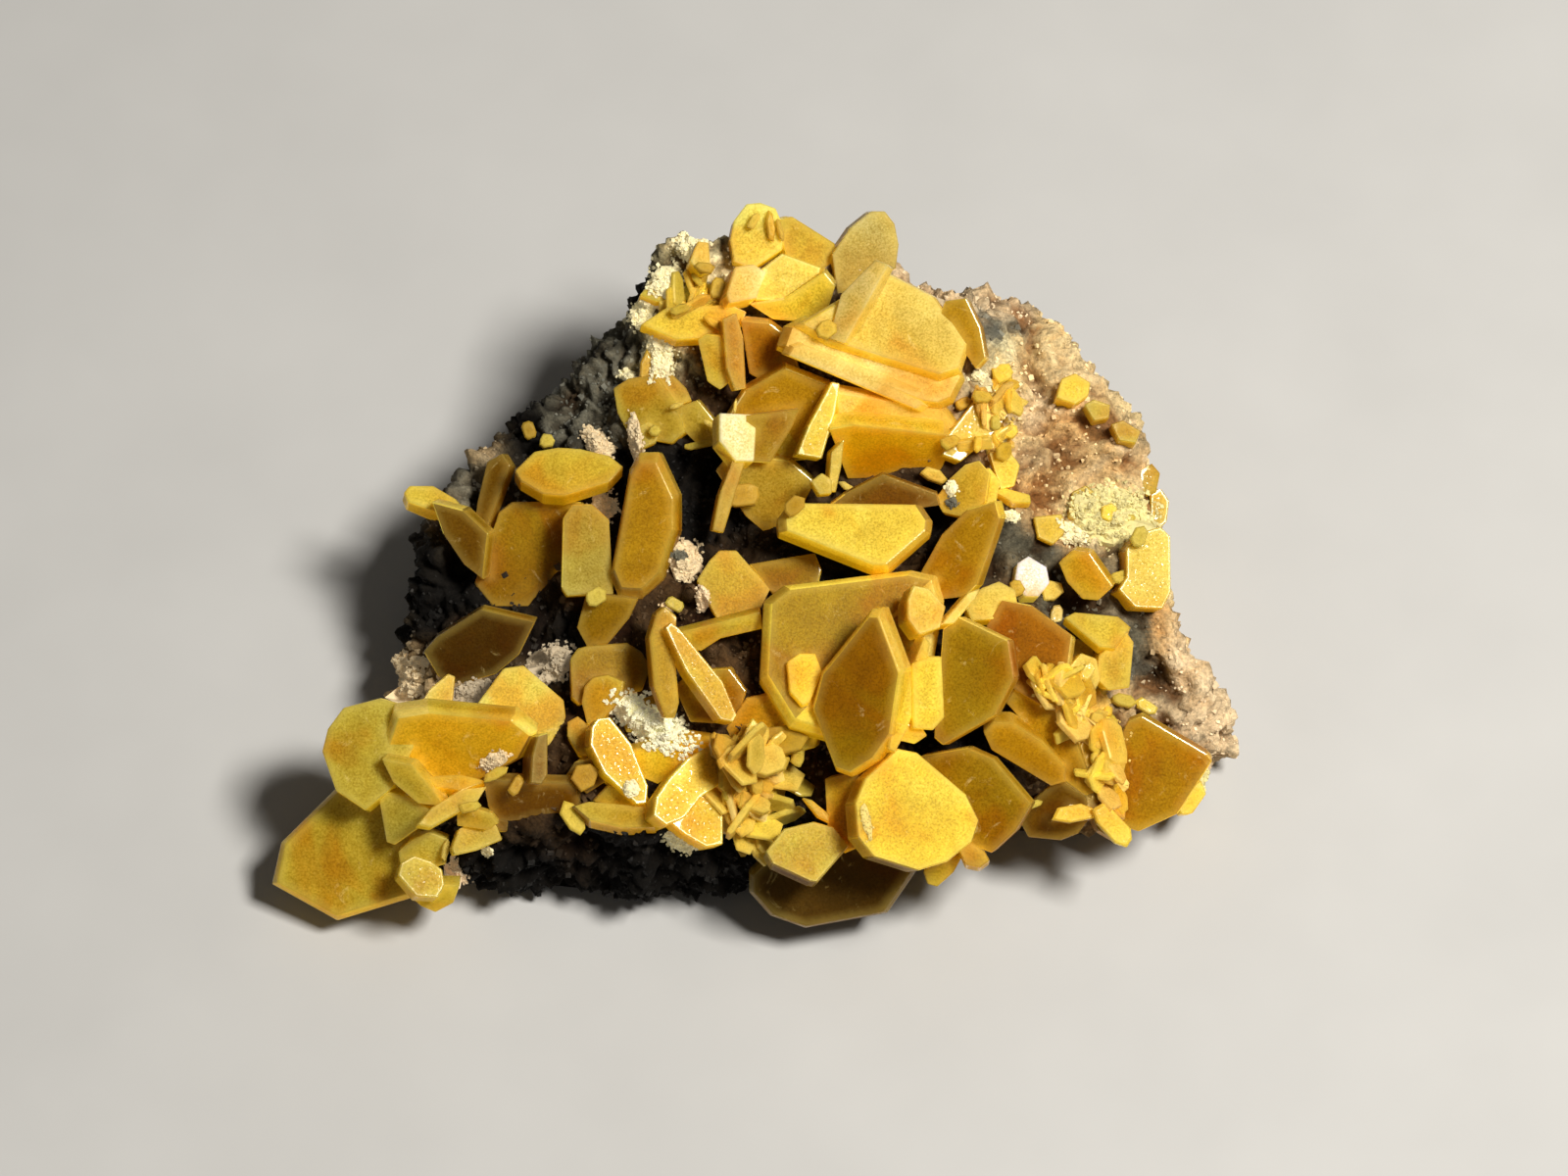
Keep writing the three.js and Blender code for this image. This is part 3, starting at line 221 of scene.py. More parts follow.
# Where each colour of rock shows. Black and brown are partly the rock's own dark colour and partly painted
# shade in the gaps between the crystals and on the shadowed left side.
ROCK_TINTS = [
    (PEACH, [(20, 17), (19.5, 14), (23, 9), (29, 3), (29.5, -2), (27, 11), (21, 19), (18, 9), (30, 6),
             (22, 6), (20.9, 12.8)]),
    (PINK, [(12, 20), (17, 19), (20.5, 12), (33, -14), (30, -7), (14, 24), (31, -11), (25, 9.5),
            (19, 22)]),
    (TAN, [(16, 10), (24, 7), (10, 25), (28, 10), (0, 28), (26, -9), (19, 7.4), (-22, 8.4), (-25, -9)]),
    (RUST, [(21.5, 10.2), (24.5, 6.4), (28.5, -4), (20, 5.4), (24, -14), (23.8, 8.2), (22, 4)]),
    (CREAM, [(16.4, 13.8), (-8, 16), (-5.2, 23.8), (25, 4)]),
    (GREY, [(-12.5, 14.5), (-13.7, 12.2), (-11, 16.3), (-21.8, 7.2), (27.3, -3.4), (27, -7.5),
            (16.2, 17.3)]),
    (SLATE, [(17.6, 2.6), (20, 1.4), (26.6, -5.2), (22, -2.7)]),
    (BLACK, [(-18, 11), (-9, 20), (-21, -1), (-24, -3), (-14, -5), (-8, 8), (-18, -23), (-10, -23),
             (-3, -24), (-27, 1), (4, 0), (8, -3), (-15, 18), (-20, 14), (-12, 24), (-25, 12),
             (-30, -6), (-16, 9.5), (2, -24), (8, -26), (-24, -24), (14, -24), (20, -22), (11, 4),
             (13, -2), (14, -13), (-11, -18), (-5, -20), (0, -20), (-6, 3), (-3, 6), (-11, 6)]),
    (BROWN, [(0, -6), (10, 5), (16, -10), (-16, -12), (8, 12), (20, -20), (-5, 12), (-8, -6), (-2, -16),
             (-14, -16), (-5, -1.5), (30, -20), (33, -18), (5, -14), (-6, -3), (-3, -9), (18.7, -4),
             (10, 0), (2, 8), (-12, -1), (14, 6.5), (20, -9), (6, 16), (-1, 14)]),
]

# Added to each squared distance, so that a colour's weight is finite at its own place.
TINT_SOFTNESS = 0.3


def nearest_tint(tints, right, up, sharpness):
    """Colour of the nearest places, blended where two are about as near."""
    total = Vector((0, 0, 0))
    weights = 0.0
    for tint, places in tints:
        for place_right, place_up in places:
            weight = 1 / ((right - place_right) ** 2 + (up - place_up) ** 2 + TINT_SOFTNESS) ** sharpness
            total += Vector(tint) * weight
            weights += weight
    return total / weights


# Shader helpers.

class Shader:
    """A node material with a Principled shader, and short ways to add nodes to it."""

    def __init__(self, name):
        self.material = bpy.data.materials.new(name)
        self.material.use_nodes = True
        self.nodes = self.material.node_tree.nodes
        self.links = self.material.node_tree.links
        self.surface = self.nodes["Principled BSDF"]
        self.place = self.nodes.new("ShaderNodeTexCoord").outputs["Object"]

    def feed(self, value, socket):
        if isinstance(value, tuple):
            socket.default_value = (*value, 1)
        elif isinstance(value, (int, float)):
            socket.default_value = (value, value, value, 1) if socket.type == "RGBA" else value
        else:
            self.links.new(value, socket)

    def noise(self, scale, detail=4.0, roughness=0.55, distortion=0.0):
        node = self.nodes.new("ShaderNodeTexNoise")
        for name, value in (("Scale", scale), ("Detail", detail), ("Roughness", roughness),
                            ("Distortion", distortion), ("Vector", self.place)):
            self.feed(value, node.inputs[name])
        return node.outputs["Fac"]

    def cells(self, scale):
        node = self.nodes.new("ShaderNodeTexVoronoi")
        self.feed(scale, node.inputs["Scale"])
        self.feed(self.place, node.inputs["Vector"])
        return node.outputs["Distance"]

    def ramp(self, value, *stops):
        """Colours or greys at positions of a ramp, in rising order."""
        node = self.nodes.new("ShaderNodeValToRGB")
        elements = node.color_ramp.elements
        elements[0].position, elements[1].position = stops[0][0], stops[-1][0]
        inner = [elements.new(position) for position, _ in stops[1:-1]]
        for element, (_, colour) in zip([elements[0], *inner, elements[len(elements) - 1]], stops):
            element.color = (*colour, 1) if isinstance(colour, tuple) else (colour, colour, colour, 1)
        self.feed(value, node.inputs["Fac"])
        return node.outputs["Color"]

    def mix(self, share, first, second, blend="MIX"):
        node = self.nodes.new("ShaderNodeMix")
        node.data_type = "RGBA"
        node.blend_type = blend
        for value, socket in ((share, 0), (first, 6), (second, 7)):
            self.feed(value, node.inputs[socket])
        return node.outputs[2]

    def product(self, first, second):
        return self.mix(1.0, first, second, "MULTIPLY")

    def attribute(self, name, output="Color"):
        node = self.nodes.new("ShaderNodeAttribute")
        node.attribute_name = name
        return node.outputs[output]

    def bump(self, *layers):
        """Bump from (height, strength, distance) layers, the coarsest first."""
        normal = None
        for height, strength, distance in layers:
            node = self.nodes.new("ShaderNodeBump")
            self.feed(strength, node.inputs["Strength"])
            self.feed(distance, node.inputs["Distance"])
            self.feed(height, node.inputs["Height"])
            if normal is not None:
                self.feed(normal, node.inputs["Normal"])
            normal = node.outputs["Normal"]
        self.feed(normal, self.surface.inputs["Normal"])

    def surface_is(self, **values):
        for name, value in values.items():
            self.surface.inputs[name.replace("_", " ")].default_value = value


# Scales of the patterns in and on a crystal, per metre: zones of colour, clouds and veils inside,
# then frosting, sparkle, waves, and the unevenness of its dull faces and of its polished rims.
ZONES, CLOUDS, VEILS = 170, 650, 420
FROSTING, SPARKLE, WAVES, DULL_PARTS, POLISH = 6500, 5600, 500, 5000, 700


def wulfenite_material(name, scatter, radii):
    """Translucent golden yellow: frosted faces with a sparkle and glossy rims, with painted light: a
    painted highlight that makes the rims paler, painted shade in the middle of faces, and a painted glow
    from the lower sides.
    """
    shader = Shader(name)
    surface = shader.surface.inputs
    tint = shader.attribute("tint")
    rim = shader.attribute("rim", "Fac")
    heart_shade = shader.attribute("heart_shade", "Fac")
    painted_glow = shader.attribute("painted_glow", "Fac")
    depths = shader.ramp(shader.noise(ZONES, 3, 0.5, 0.6),
                         (0.36, (0.92, 0.62, 0.25)), (0.5, (0.97, 0.9, 0.72)), (0.64, (1.0, 1.0, 1.15)))
    clouds = shader.ramp(shader.noise(CLOUDS, 4, 0.65),
                         (0.3, (0.74, 0.71, 0.58)), (0.66, (0.94, 0.93, 0.9)))
    frost = shader.noise(FROSTING, 2, 0.6)
    grains = shader.ramp(frost,
                         (0.32, (0.7, 0.64, 0.46)), (0.5, (0.96, 0.96, 0.92)), (0.68, (1.16, 1.18, 1.5)))
    veils = shader.ramp(shader.noise(VEILS, 7, 0.72, 1.8), (0.6, 0.0), (0.74, 0.5))
    deep = shader.product(shader.product(tint, depths), clouds)
    # Painted shade: the middle of each face, away from its rims, is painted darker.
    inner = shader.mix(heart_shade, deep, shader.product(deep, (0.88, 0.83, 0.7)))
    veiled = shader.mix(veils, inner, (0.86, 0.68, 0.25))
    frosted = shader.product(veiled, grains)
    # Painted highlight: the rims are painted paler than the faces.
    pale = shader.mix(0.22, shader.product(deep, (1.06, 1.08, 1.4)), (0.85, 0.64, 0.15))
    edge = shader.ramp(rim, (0.56, 0.0), (0.69, 1.0))
    shader.feed(shader.mix(rim, frosted, pale), surface["Base Color"])
    rough = shader.ramp(shader.noise(DULL_PARTS, 2), (0.3, 0.36), (0.75, 0.6))
    gloss = shader.ramp(shader.noise(POLISH, 2), (0.3, 0.13), (0.7, 0.28))
    shader.feed(shader.mix(edge, rough, gloss), surface["Roughness"])
    glints = shader.ramp(shader.noise(SPARKLE, 2, 0.5), (0.66, 0.0), (0.72, 0.6))
    shader.feed(shader.mix(edge, glints, 0.28), surface["Coat Weight"])
    # Painted glow: the lower sides emit the crystal's colour, fuller and warmer.
    shader.feed(shader.product(shader.product(tint, (1.0, 0.8, 0.15)), painted_glow), surface["Emission Color"])
    shader.bump((shader.noise(WAVES, 3), 0.35, 0.1 * MM), (frost, 0.5, 0.03 * MM))
    shader.surface_is(IOR=1.5, Specular_IOR_Level=0.3, Specular_Tint=(1.0, 0.78, 0.3, 1.0))
    shader.surface_is(Coat_IOR=1.8, Coat_Roughness=0.12, Emission_Strength=0.3)
    shader.surface_is(Subsurface_Weight=0.9, Subsurface_Scale=scatter, Transmission_Weight=0.06)
    shader.surface_is(Subsurface_Radius=radii)
    shader.surface.subsurface_method = "BURLEY"
    return shader.material


# Scales of the patterns on the rock, per metre: blotches, dark specks, rust and grains, then bumps,
# knobs, fine grit, and the unevenness of its roughness.
BLOTCHES, SPECKS, RUSTING, GRAINS = 420, 1500, 300, 3000
BUMPS, KNOBS, GRIT, DRY_PARTS = 700, 1500, 4200, 900


def rock_material():
    """Dry earthy rock, stained from peach and pinkish to grey and black, with painted shade: black and
    brown in the gaps between the crystals, and darker hollows in its relief.
    """
    shader = Shader("rock")
    # The rock's colours: its stains, and painted shade in the gaps between the crystals.
    stain_and_shade = shader.attribute("tint")
    height = shader.attribute("relief", "Fac")
    blotches = shader.ramp(shader.noise(BLOTCHES, 6, 0.62, 0.6), (0.32, 0.58), (0.5, 0.94), (0.7, 1.1))
    grains = shader.ramp(shader.noise(GRAINS, 5, 0.7), (0.34, 0.5), (0.62, 1.06))
    specks = shader.ramp(shader.noise(SPECKS, 6, 0.75, 0.5), (0.57, 0.0), (0.66, 0.7))
    rusty = shader.ramp(shader.noise(RUSTING, 5, 0.7, 0.8), (0.48, 0.0), (0.66, 0.5))
    # Painted shade: the low parts of the relief are painted darker and browner.
    pits = shader.ramp(height,
                       (0.12, (0.34, 0.22, 0.14)), (0.42, (0.85, 0.8, 0.74)), (0.75, (1.06, 1.04, 1.0)))
    stained = shader.mix(rusty, stain_and_shade, shader.product(stain_and_shade, (1.0, 0.78, 0.52)))
    speckled = shader.mix(specks, stained, shader.product(stain_and_shade, (0.3, 0.3, 0.27)))
    earthy = shader.product(shader.product(shader.product(speckled, blotches), grains), pits)
    shader.feed(earthy, shader.surface.inputs["Base Color"])
    rough = shader.ramp(shader.noise(DRY_PARTS, 3), (0.3, 0.74), (0.7, 0.98))
    shader.feed(rough, shader.surface.inputs["Roughness"])
    shader.bump((shader.noise(BUMPS, 7, 0.7), 0.8, 0.5 * MM), (shader.cells(KNOBS), 0.6, 0.2 * MM),
                (shader.noise(GRIT, 4, 0.7), 0.7, 0.1 * MM))
    shader.surface_is(Specular_IOR_Level=0.15)
    return shader.material


# Scales of the patterns on the crumbs, per metre: their shades, roughness, lumps and grain.
SHADES, DULLNESS, LUMPS, SUGAR_GRAIN = 2400, 1800, 1500, 4200


def sugar_material():
    """Sugary crust of tiny grains, with a painted glow: it emits its own colour, which lightens its shaded
    parts.
    """
    shader = Shader("sugar")
    tint = shader.attribute("tint")
    grains = shader.ramp(shader.noise(SHADES, 3, 0.6), (0.3, 0.78), (0.7, 1.0))
    sugary = shader.product(tint, grains)
    shader.feed(sugary, shader.surface.inputs["Base Color"])
    # Painted glow: the crumbs and grains emit their own colour.
    shader.feed(sugary, shader.surface.inputs["Emission Color"])
    rough = shader.ramp(shader.noise(DULLNESS, 2), (0.3, 0.6), (0.7, 0.95))
    shader.feed(rough, shader.surface.inputs["Roughness"])
    shader.bump((shader.noise(LUMPS, 3, 0.6), 0.6, 0.2 * MM),
                (shader.noise(SUGAR_GRAIN, 3, 0.6), 0.4, 0.06 * MM))
    shader.surface_is(Specular_IOR_Level=0.3, Emission_Strength=0.12)
    return shader.material


# Light goes deeper into the large crystals than into the small ones, and red light the deepest.
WULFENITE = wulfenite_material("wulfenite", 1.8 * MM, (1.0, 0.72, 0.25))
DRUSE = wulfenite_material("druse", 0.8 * MM, (1.0, 0.85, 0.5))
ROCK = rock_material()
SUGAR = sugar_material()


# Mesh helpers.

def finished_piece(name, mesh, material, replaced=()):
    piece = bpy.data.objects.new(name, mesh)
    bpy.context.scene.collection.objects.link(piece)
    mesh.materials.append(material)
    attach(piece, "root")
    if replaced:
        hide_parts(*replaced)
    return piece


def colour_corners(mesh, tints):
    """One colour for each corner of each face."""
    layer = mesh.color_attributes.new("tint", "FLOAT_COLOR", "CORNER")
    layer.data.foreach_set("color", [part for tint in tints for part in (*tint, 1.0)])


def colour_faces(mesh, tints):
    """One colour for each face."""
    colour_corners(mesh, [tint for polygon, tint in zip(mesh.polygons, tints)
                          for _ in range(polygon.loop_total)])


def mark_points(mesh, name, values):
    """One value for each vertex."""
    mesh.attributes.new(name, "FLOAT", "POINT").data.foreach_set("value", values)


def bmesh_of(node):
    """A copy of a node's solid, to be worked on."""
    bm = bmesh.new()
    bm.from_mesh(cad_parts[node].data)
    bmesh.ops.remove_doubles(bm, verts=bm.verts, dist=MERGE_DISTANCE)
    return bm


def into_box(point):
    """The point, brought inside the box of the solids."""
    return Vector([min(max(point[i], cad_low[i]), cad_high[i]) for i in range(3)])


def tree_of(meshes):
    """A search tree of the meshes' faces."""
    points, faces = [], []
    for mesh in meshes:
        first = len(points)
        points.extend(vertex.co.copy() for vertex in mesh.vertices)
        faces.extend([first + index for index in polygon.vertices] for polygon in mesh.polygons)
    return BVHTree.FromPolygons(points, faces)


# Crystals.

def edges_to_bevel(bm, width):
    """Sharp outer edges whose ends have room for a bevel."""
    room = BEVEL_ROOM * width
    roomy = {vertex: min(edge.calc_length() for edge in vertex.link_edges) > room for vertex in bm.verts}
    return [edge for edge in bm.edges
            if edge.is_manifold and edge.is_convex and edge.calc_face_angle() > SHARP_EDGE
            and roomy[edge.verts[0]] and roomy[edge.verts[1]]]


def rim_tree(bm):
    """A search tree of points along the sharp outer edges."""
    places = []
    for edge in bm.edges:
        if edge.is_manifold and edge.is_convex and edge.calc_face_angle() > SHARP_EDGE:
            start, end = edge.verts[0].co, edge.verts[1].co
            steps = max(1, round((end - start).length / RIM_STEP))
            places.extend(start.lerp(end, step / steps) for step in range(steps + 1))
    tree = KDTree(len(places))
    for index, place in enumerate(places):
        tree.insert(place, index)
    tree.balance()
    return tree


def refine(bm):
    """Cut the faces into triangles with no long edge."""
    bmesh.ops.triangulate(bm, faces=bm.faces)
    for _ in range(REFINE_ROUNDS):
        long = [edge for edge in bm.edges if edge.calc_length() > LONGEST_EDGE]
        bmesh.ops.subdivide_edges(bm, edges=long, cuts=1)
        bmesh.ops.triangulate(bm, faces=[face for face in bm.faces if len(face.verts) > 3])


def lower_side(normal):
    """How much a face is one of the lower sides, where a painted glow stands for the light that comes out
    of a crystal.
    """
    return smooth_step(-normal.dot(UP), *LOWER_SIDES)


def crystal_tints(bm, shade, root_shade_tint, matrix_tree):
    """Each corner's colour: the face's own, darkened towards the root as painted shade, and fuller on lower
    sides as a painted glow.
    """
    tints = []
    for face in bm.faces:
        looks_down = lower_side(face.normal)
        for loop in face.loops:
            # Painted shade: the colour darkens near the rock.
            root = 1 - smooth_step(matrix_tree.find_nearest(loop.vert.co)[3] / MM, *ROOT_SHADE_REACH)
            tint = face[shade]
            tint = Vector([part * (1 - root * (1 - deep)) for part, deep in zip(tint, root_shade_tint)])
            # Painted glow: the lower sides get a fuller colour.
            tints.append([part * (1 - looks_down * (1 - low)) for part, low in zip(tint, LOWER_SIDE_GLOW_TINT)])
    return tints


def crystal_piece(node, matrix_tree):
    """A cluster's tablets with fine bevelled edges, each face in its own colour, with painted light: pale
    rims as a painted highlight, painted shade in the middle and at the root, and a painted glow on the
    lower sides.
    """
    bm = bmesh_of(node)
    bmesh.ops.dissolve_degenerate(bm, dist=TINY_EDGE, edges=bm.edges)
    bmesh.ops.dissolve_limit(bm, angle_limit=FLAT_ANGLE, verts=bm.verts, edges=bm.edges)
    rims = rim_tree(bm)
    bm.normal_update()
    bmesh.ops.bevel(bm, geom=edges_to_bevel(bm, BEVEL_WIDTH), offset=BEVEL_WIDTH, offset_type="OFFSET",
                    segments=2, profile=0.5, affect="EDGES", clamp_overlap=False)
    shade = bm.faces.layers.float_vector.new("shade")
    white = node == WHITE_NODE
    for face in bm.faces:
        place = slope_place(face.calc_center_median())
        face[shade] = WHITE if white else nearest_tint(CRYSTAL_TINTS, *place, FACE_SHARPNESS)
    refine(bm)
    bm.normal_update()
    tints = crystal_tints(bm, shade, (1, 1, 1) if white else ROOT_SHADE_TINT, matrix_tree)
    bm.faces.layers.float_vector.remove(shade)
    mesh = bpy.data.meshes.new(node + "_crystals")
    bm.to_mesh(mesh)
    bm.free()
    colour_corners(mesh, tints)
    distances = [rims.find(vertex.co)[2] / MM for vertex in mesh.vertices]
    rim_highlight = [RIM_HIGHLIGHT * (1 - smooth_step(distance, *RIM_WIDTH)) for distance in distances]
    mark_points(mesh, "rim", rim_highlight)
    mark_points(mesh, "heart_shade", [smooth_step(distance, *HEART_SHADE_WIDTH) for distance in distances])
    mark_points(mesh, "painted_glow", [lower_side(vertex.normal) for vertex in mesh.vertices])
    return finished_piece(node + "_crystals", mesh, WULFENITE, [node])


# Rock.

def rock_relief(place):
    """Swells, ledges with sharp crests, and rounded lumps with crevices between them."""
    size, height = ROCK_SWELL
    relief = height * noise.noise(place / size)
    size, height = ROCK_LEDGES
    relief += height * (RIDGE_LEVEL - RIDGE_GAIN * abs(noise.noise(place / size)))
    for size, height in ROCK_LUMPS:
        relief += height * (RIDGE_GAIN * abs(noise.noise(place / size)) - RIDGE_LEVEL)
    return relief


def below_faces(place, crystal_tree):
    """The place, moved just under the crystal face that it would cover thinly."""
    hit, normal, _, _ = crystal_tree.ray_cast(place, -OUT, ROCK_SKIN * MM)
    if hit is None or normal.dot(OUT) < FACING_OUT:
        return place
    return hit - OUT * ROCK_SUNK * MM


def rock_piece(crystal_tree):
    """The slab, roughened with lumps, ledges and pits, and closed against the crystals' roots."""
    bm = bmesh_of("matrix")
    bmesh.ops.subdivide_edges(bm, edges=bm.edges, cuts=ROCK_CUTS, use_grid_fill=True)
    bmesh.ops.triangulate(bm, faces=bm.faces)
    foot = [vertex for vertex in bm.verts if vertex.co.z < FOOT_HEIGHT]
    skin = [vertex for vertex in bm.verts if vertex.co.z >= FOOT_HEIGHT]
    for _ in range(ROCK_SMOOTHING):
        bmesh.ops.smooth_vert(bm, verts=skin, factor=0.5, use_axis_x=True, use_axis_y=True, use_axis_z=True)
    bm.normal_update()
    moved = {}
    reliefs = {}
    for vertex in skin:
        relief = rock_relief(vertex.co / MM)
        distance = crystal_tree.find_nearest(vertex.co)[3] / MM
        room = ROCK_RELIEF_NEAR + (1 - ROCK_RELIEF_NEAR) * smooth_step(distance, *ROCK_CLEARANCE)
        seal = ROCK_SEAL * (1 - smooth_step(distance, *ROCK_SEAL_REACH))
        rise = (seal + relief * room) * smooth_step(vertex.co.z / MM, 0, ROCK_FOOT)
        moved[vertex] = vertex.co + vertex.normal * rise * MM
        reliefs[vertex] = relief
    for vertex, place in moved.items():
        vertex.co = into_box(below_faces(place, crystal_tree))
        vertex.co.z = max(vertex.co.z, SKIN_HEIGHT)
    for vertex in foot:
        vertex.co.z = 0
    middle, gain = PAINTED_HOLLOW_SHADE
    heights = [middle + gain * reliefs.get(vertex, 0) for vertex in bm.verts]
    mesh = bpy.data.meshes.new("matrix_rock")
    bm.to_mesh(mesh)
    bm.free()
    size, reach = ROCK_TINT_WANDER
    tints = []
    for polygon in mesh.polygons:
        right, up = slope_place(polygon.center)
        place = polygon.center / (size * MM)
        right += reach * noise.noise(place)
        up += reach * noise.noise(place + ROCK_TINT_OFFSET)
        tints.append(nearest_tint(ROCK_TINTS, right, up, ROCK_TINT_SHARPNESS))
    colour_faces(mesh, tints)
    mark_points(mesh, "relief", heights)
    mesh.shade_smooth()
    return finished_piece("matrix_rock", mesh, ROCK, ["matrix"])


# Small crystals and grains.

STAR_SEED, CREST_SEED, RIGHT_SEED, LEFT_SEED = 11, 12, 13, 14
CRUMB_SEED = 41
GRAIN_SEED = 77
# How far a shade may go brighter, as a share of how far it may go darker.
BRIGHTER_SHARE = 0.4


class Heap:
    """Many small closed solids gathered in one mesh."""

    def __init__(self):
        self.points = []
        self.faces = []
        self.tints = []
        self.rims = []

    def add(self, points, faces, tint, rims):
        first = len(self.points)
        self.points.extend(into_box(point) for point in points)
        self.faces.extend([first + index for index in face] for face in faces)
        self.tints.extend([tint] * len(faces))
        self.rims.extend(rims)

    def piece(self, name, material, slot):
        mesh = bpy.data.meshes.new(name)
        mesh.from_pydata(self.points, [], self.faces)
        colour_faces(mesh, self.tints)
        mark_points(mesh, "rim", self.rims)
        finished_piece(name, mesh, material)


def host_out(tree, right, up):
    """How far out of the slope the surface is at a place, or None beside the specimen."""
    hit = tree.ray_cast(on_slope(right, up, ABOVE_ALL), -OUT)[0]
    return None if hit is None else (hit - on_slope(right, up)).dot(OUT) / MM


def shaded(tint, rng, spread):
    """The colour, mostly a little darker."""
    share = 1 + rng.uniform(-spread, spread * BRIGHTER_SHARE)
    return tuple(part * share for part in tint)


# Outlines of small tablets, as shares of half their length and width.
TABLET_OUTLINES = [
    [(1, -0.45), (1, 0.5), (0.6, 1), (-0.7, 1), (-1, 0.55), (-1, -0.6), (-0.55, -1), (0.7, -1)],
    [(1, 0), (0.5, 1), (-0.6, 1), (-1, 0.2), (-0.9, -0.6), (-0.4, -1), (0.6, -0.9)],
    [(1, -0.3), (0.8, 0.7), (0.1, 1), (-0.8, 0.9), (-1, -0.1), (-0.6, -1), (0.5, -1)],
    [(1, 0.1), (0.3, 1), (-0.75, 0.85), (-1, -0.4), (-0.3, -1), (0.75, -0.8)],
]
# How much their outlines and colours vary, their bevels, and how deep their roots reach.
TABLET_WOBBLE = (0.86, 1.1)
TABLET_SPREAD = 0.16
SMALL_BEVEL = 0.1
NARROWEST_TABLET = 0.4
ROOT_DEPTH = 0.4


def add_tablet(heap, tree, rng, place, size, turn, face, tint, lift):
    """A small tablet with bevelled edges, on a root that reaches into what it grows on."""
    base = host_out(tree, *place)
    if base is None:
        return
    length, width, thick = size
    face_right, face_up = face
    face_out = math.sqrt(1 - face_right ** 2 - face_up ** 2)
    facing = (RIGHT * face_right + UP * face_up + OUT * face_out).normalized()
    along = RIGHT * math.cos(turn) + UP * math.sin(turn)
    along = (along - facing * along.dot(facing)).normalized()
    across = facing.cross(along)
    middle = on_slope(*place, base + lift)
    outline = rng.choice(TABLET_OUTLINES)
    count = len(outline)
    corners = [(x * length / 2 * rng.uniform(*TABLET_WOBBLE), y * width / 2 * rng.uniform(*TABLET_WOBBLE))
               for x, y in outline]
    bevel = min(SMALL_BEVEL, thick / 4)
    inset = 1 - 2 * bevel / max(width, NARROWEST_TABLET)
    rings = [(thick / 2, inset), (thick / 2 - bevel, 1), (bevel - thick / 2, 1), (-thick / 2, inset)]
    points = [middle + facing * thick / 2 * MM]
    rims = [0.0]
    for depth, share in rings:
        for x, y in corners:
            points.append(middle + (along * x * share + across * y * share + facing * depth) * MM)
            # The outline's points carry the painted highlight of a pale rim.
            rims.append(SMALL_RIM_HIGHLIGHT)
    points.append(on_slope(*place, base - ROOT_DEPTH))
    rims.append(0.0)
    faces = [(0, 1 + i, 1 + (i + 1) % count) for i in range(count)]
    for ring in range(len(rings) - 1):
        upper = 1 + ring * count
        lower = upper + count
        for i in range(count):
            faces.append((upper + i, lower + i, lower + (i + 1) % count, upper + (i + 1) % count))
    last = 1 + (len(rings) - 1) * count
    foot = len(points) - 1
    faces.extend((last + i, foot, last + (i + 1) % count) for i in range(count))
    heap.add(points, faces, shaded(tint, rng, TABLET_SPREAD), rims)


# Small crystals: right and up the slope, lift over what they grow on, length, width and thickness,
# turn in degrees, how much the face looks right and up, and tint.
STAR_CRYSTALS = [
    (-2.5, -13.2, 3.4, 2.1, 1.0, 0.8, 48, 0.1, 0.2, PALE),
    (0.3, -13.6, 3.0, 2.4, 2.1, 0.9, 20, 0.2, 0.3, PALE),
    (-0.7, -14.6, 3.6, 3.2, 0.9, 0.7, 95, 0.4, 0.2, KHAKI),
    (-0.8, -16.6, 3.0, 2.8, 1.2, 0.8, -20, 0.1, 0.4, PALE),
    (1.3, -12.2, 0.9, 3.6, 2.2, 0.6, 5, 0.0, 0.3, OLIVE),
    (-0.2, -12.1, 2.0, 1.8, 0.9, 0.6, 65, 0.1, 0.3, PALE),
    (2.4, -13.2, 1.2, 1.9, 0.9, 0.5, 80, 0.4, 0.0, KHAKI),
    (-1.5, -19.5, 1.6, 2.1, 0.9, 0.8, 85, -0.1, -0.1, OLIVE),
]
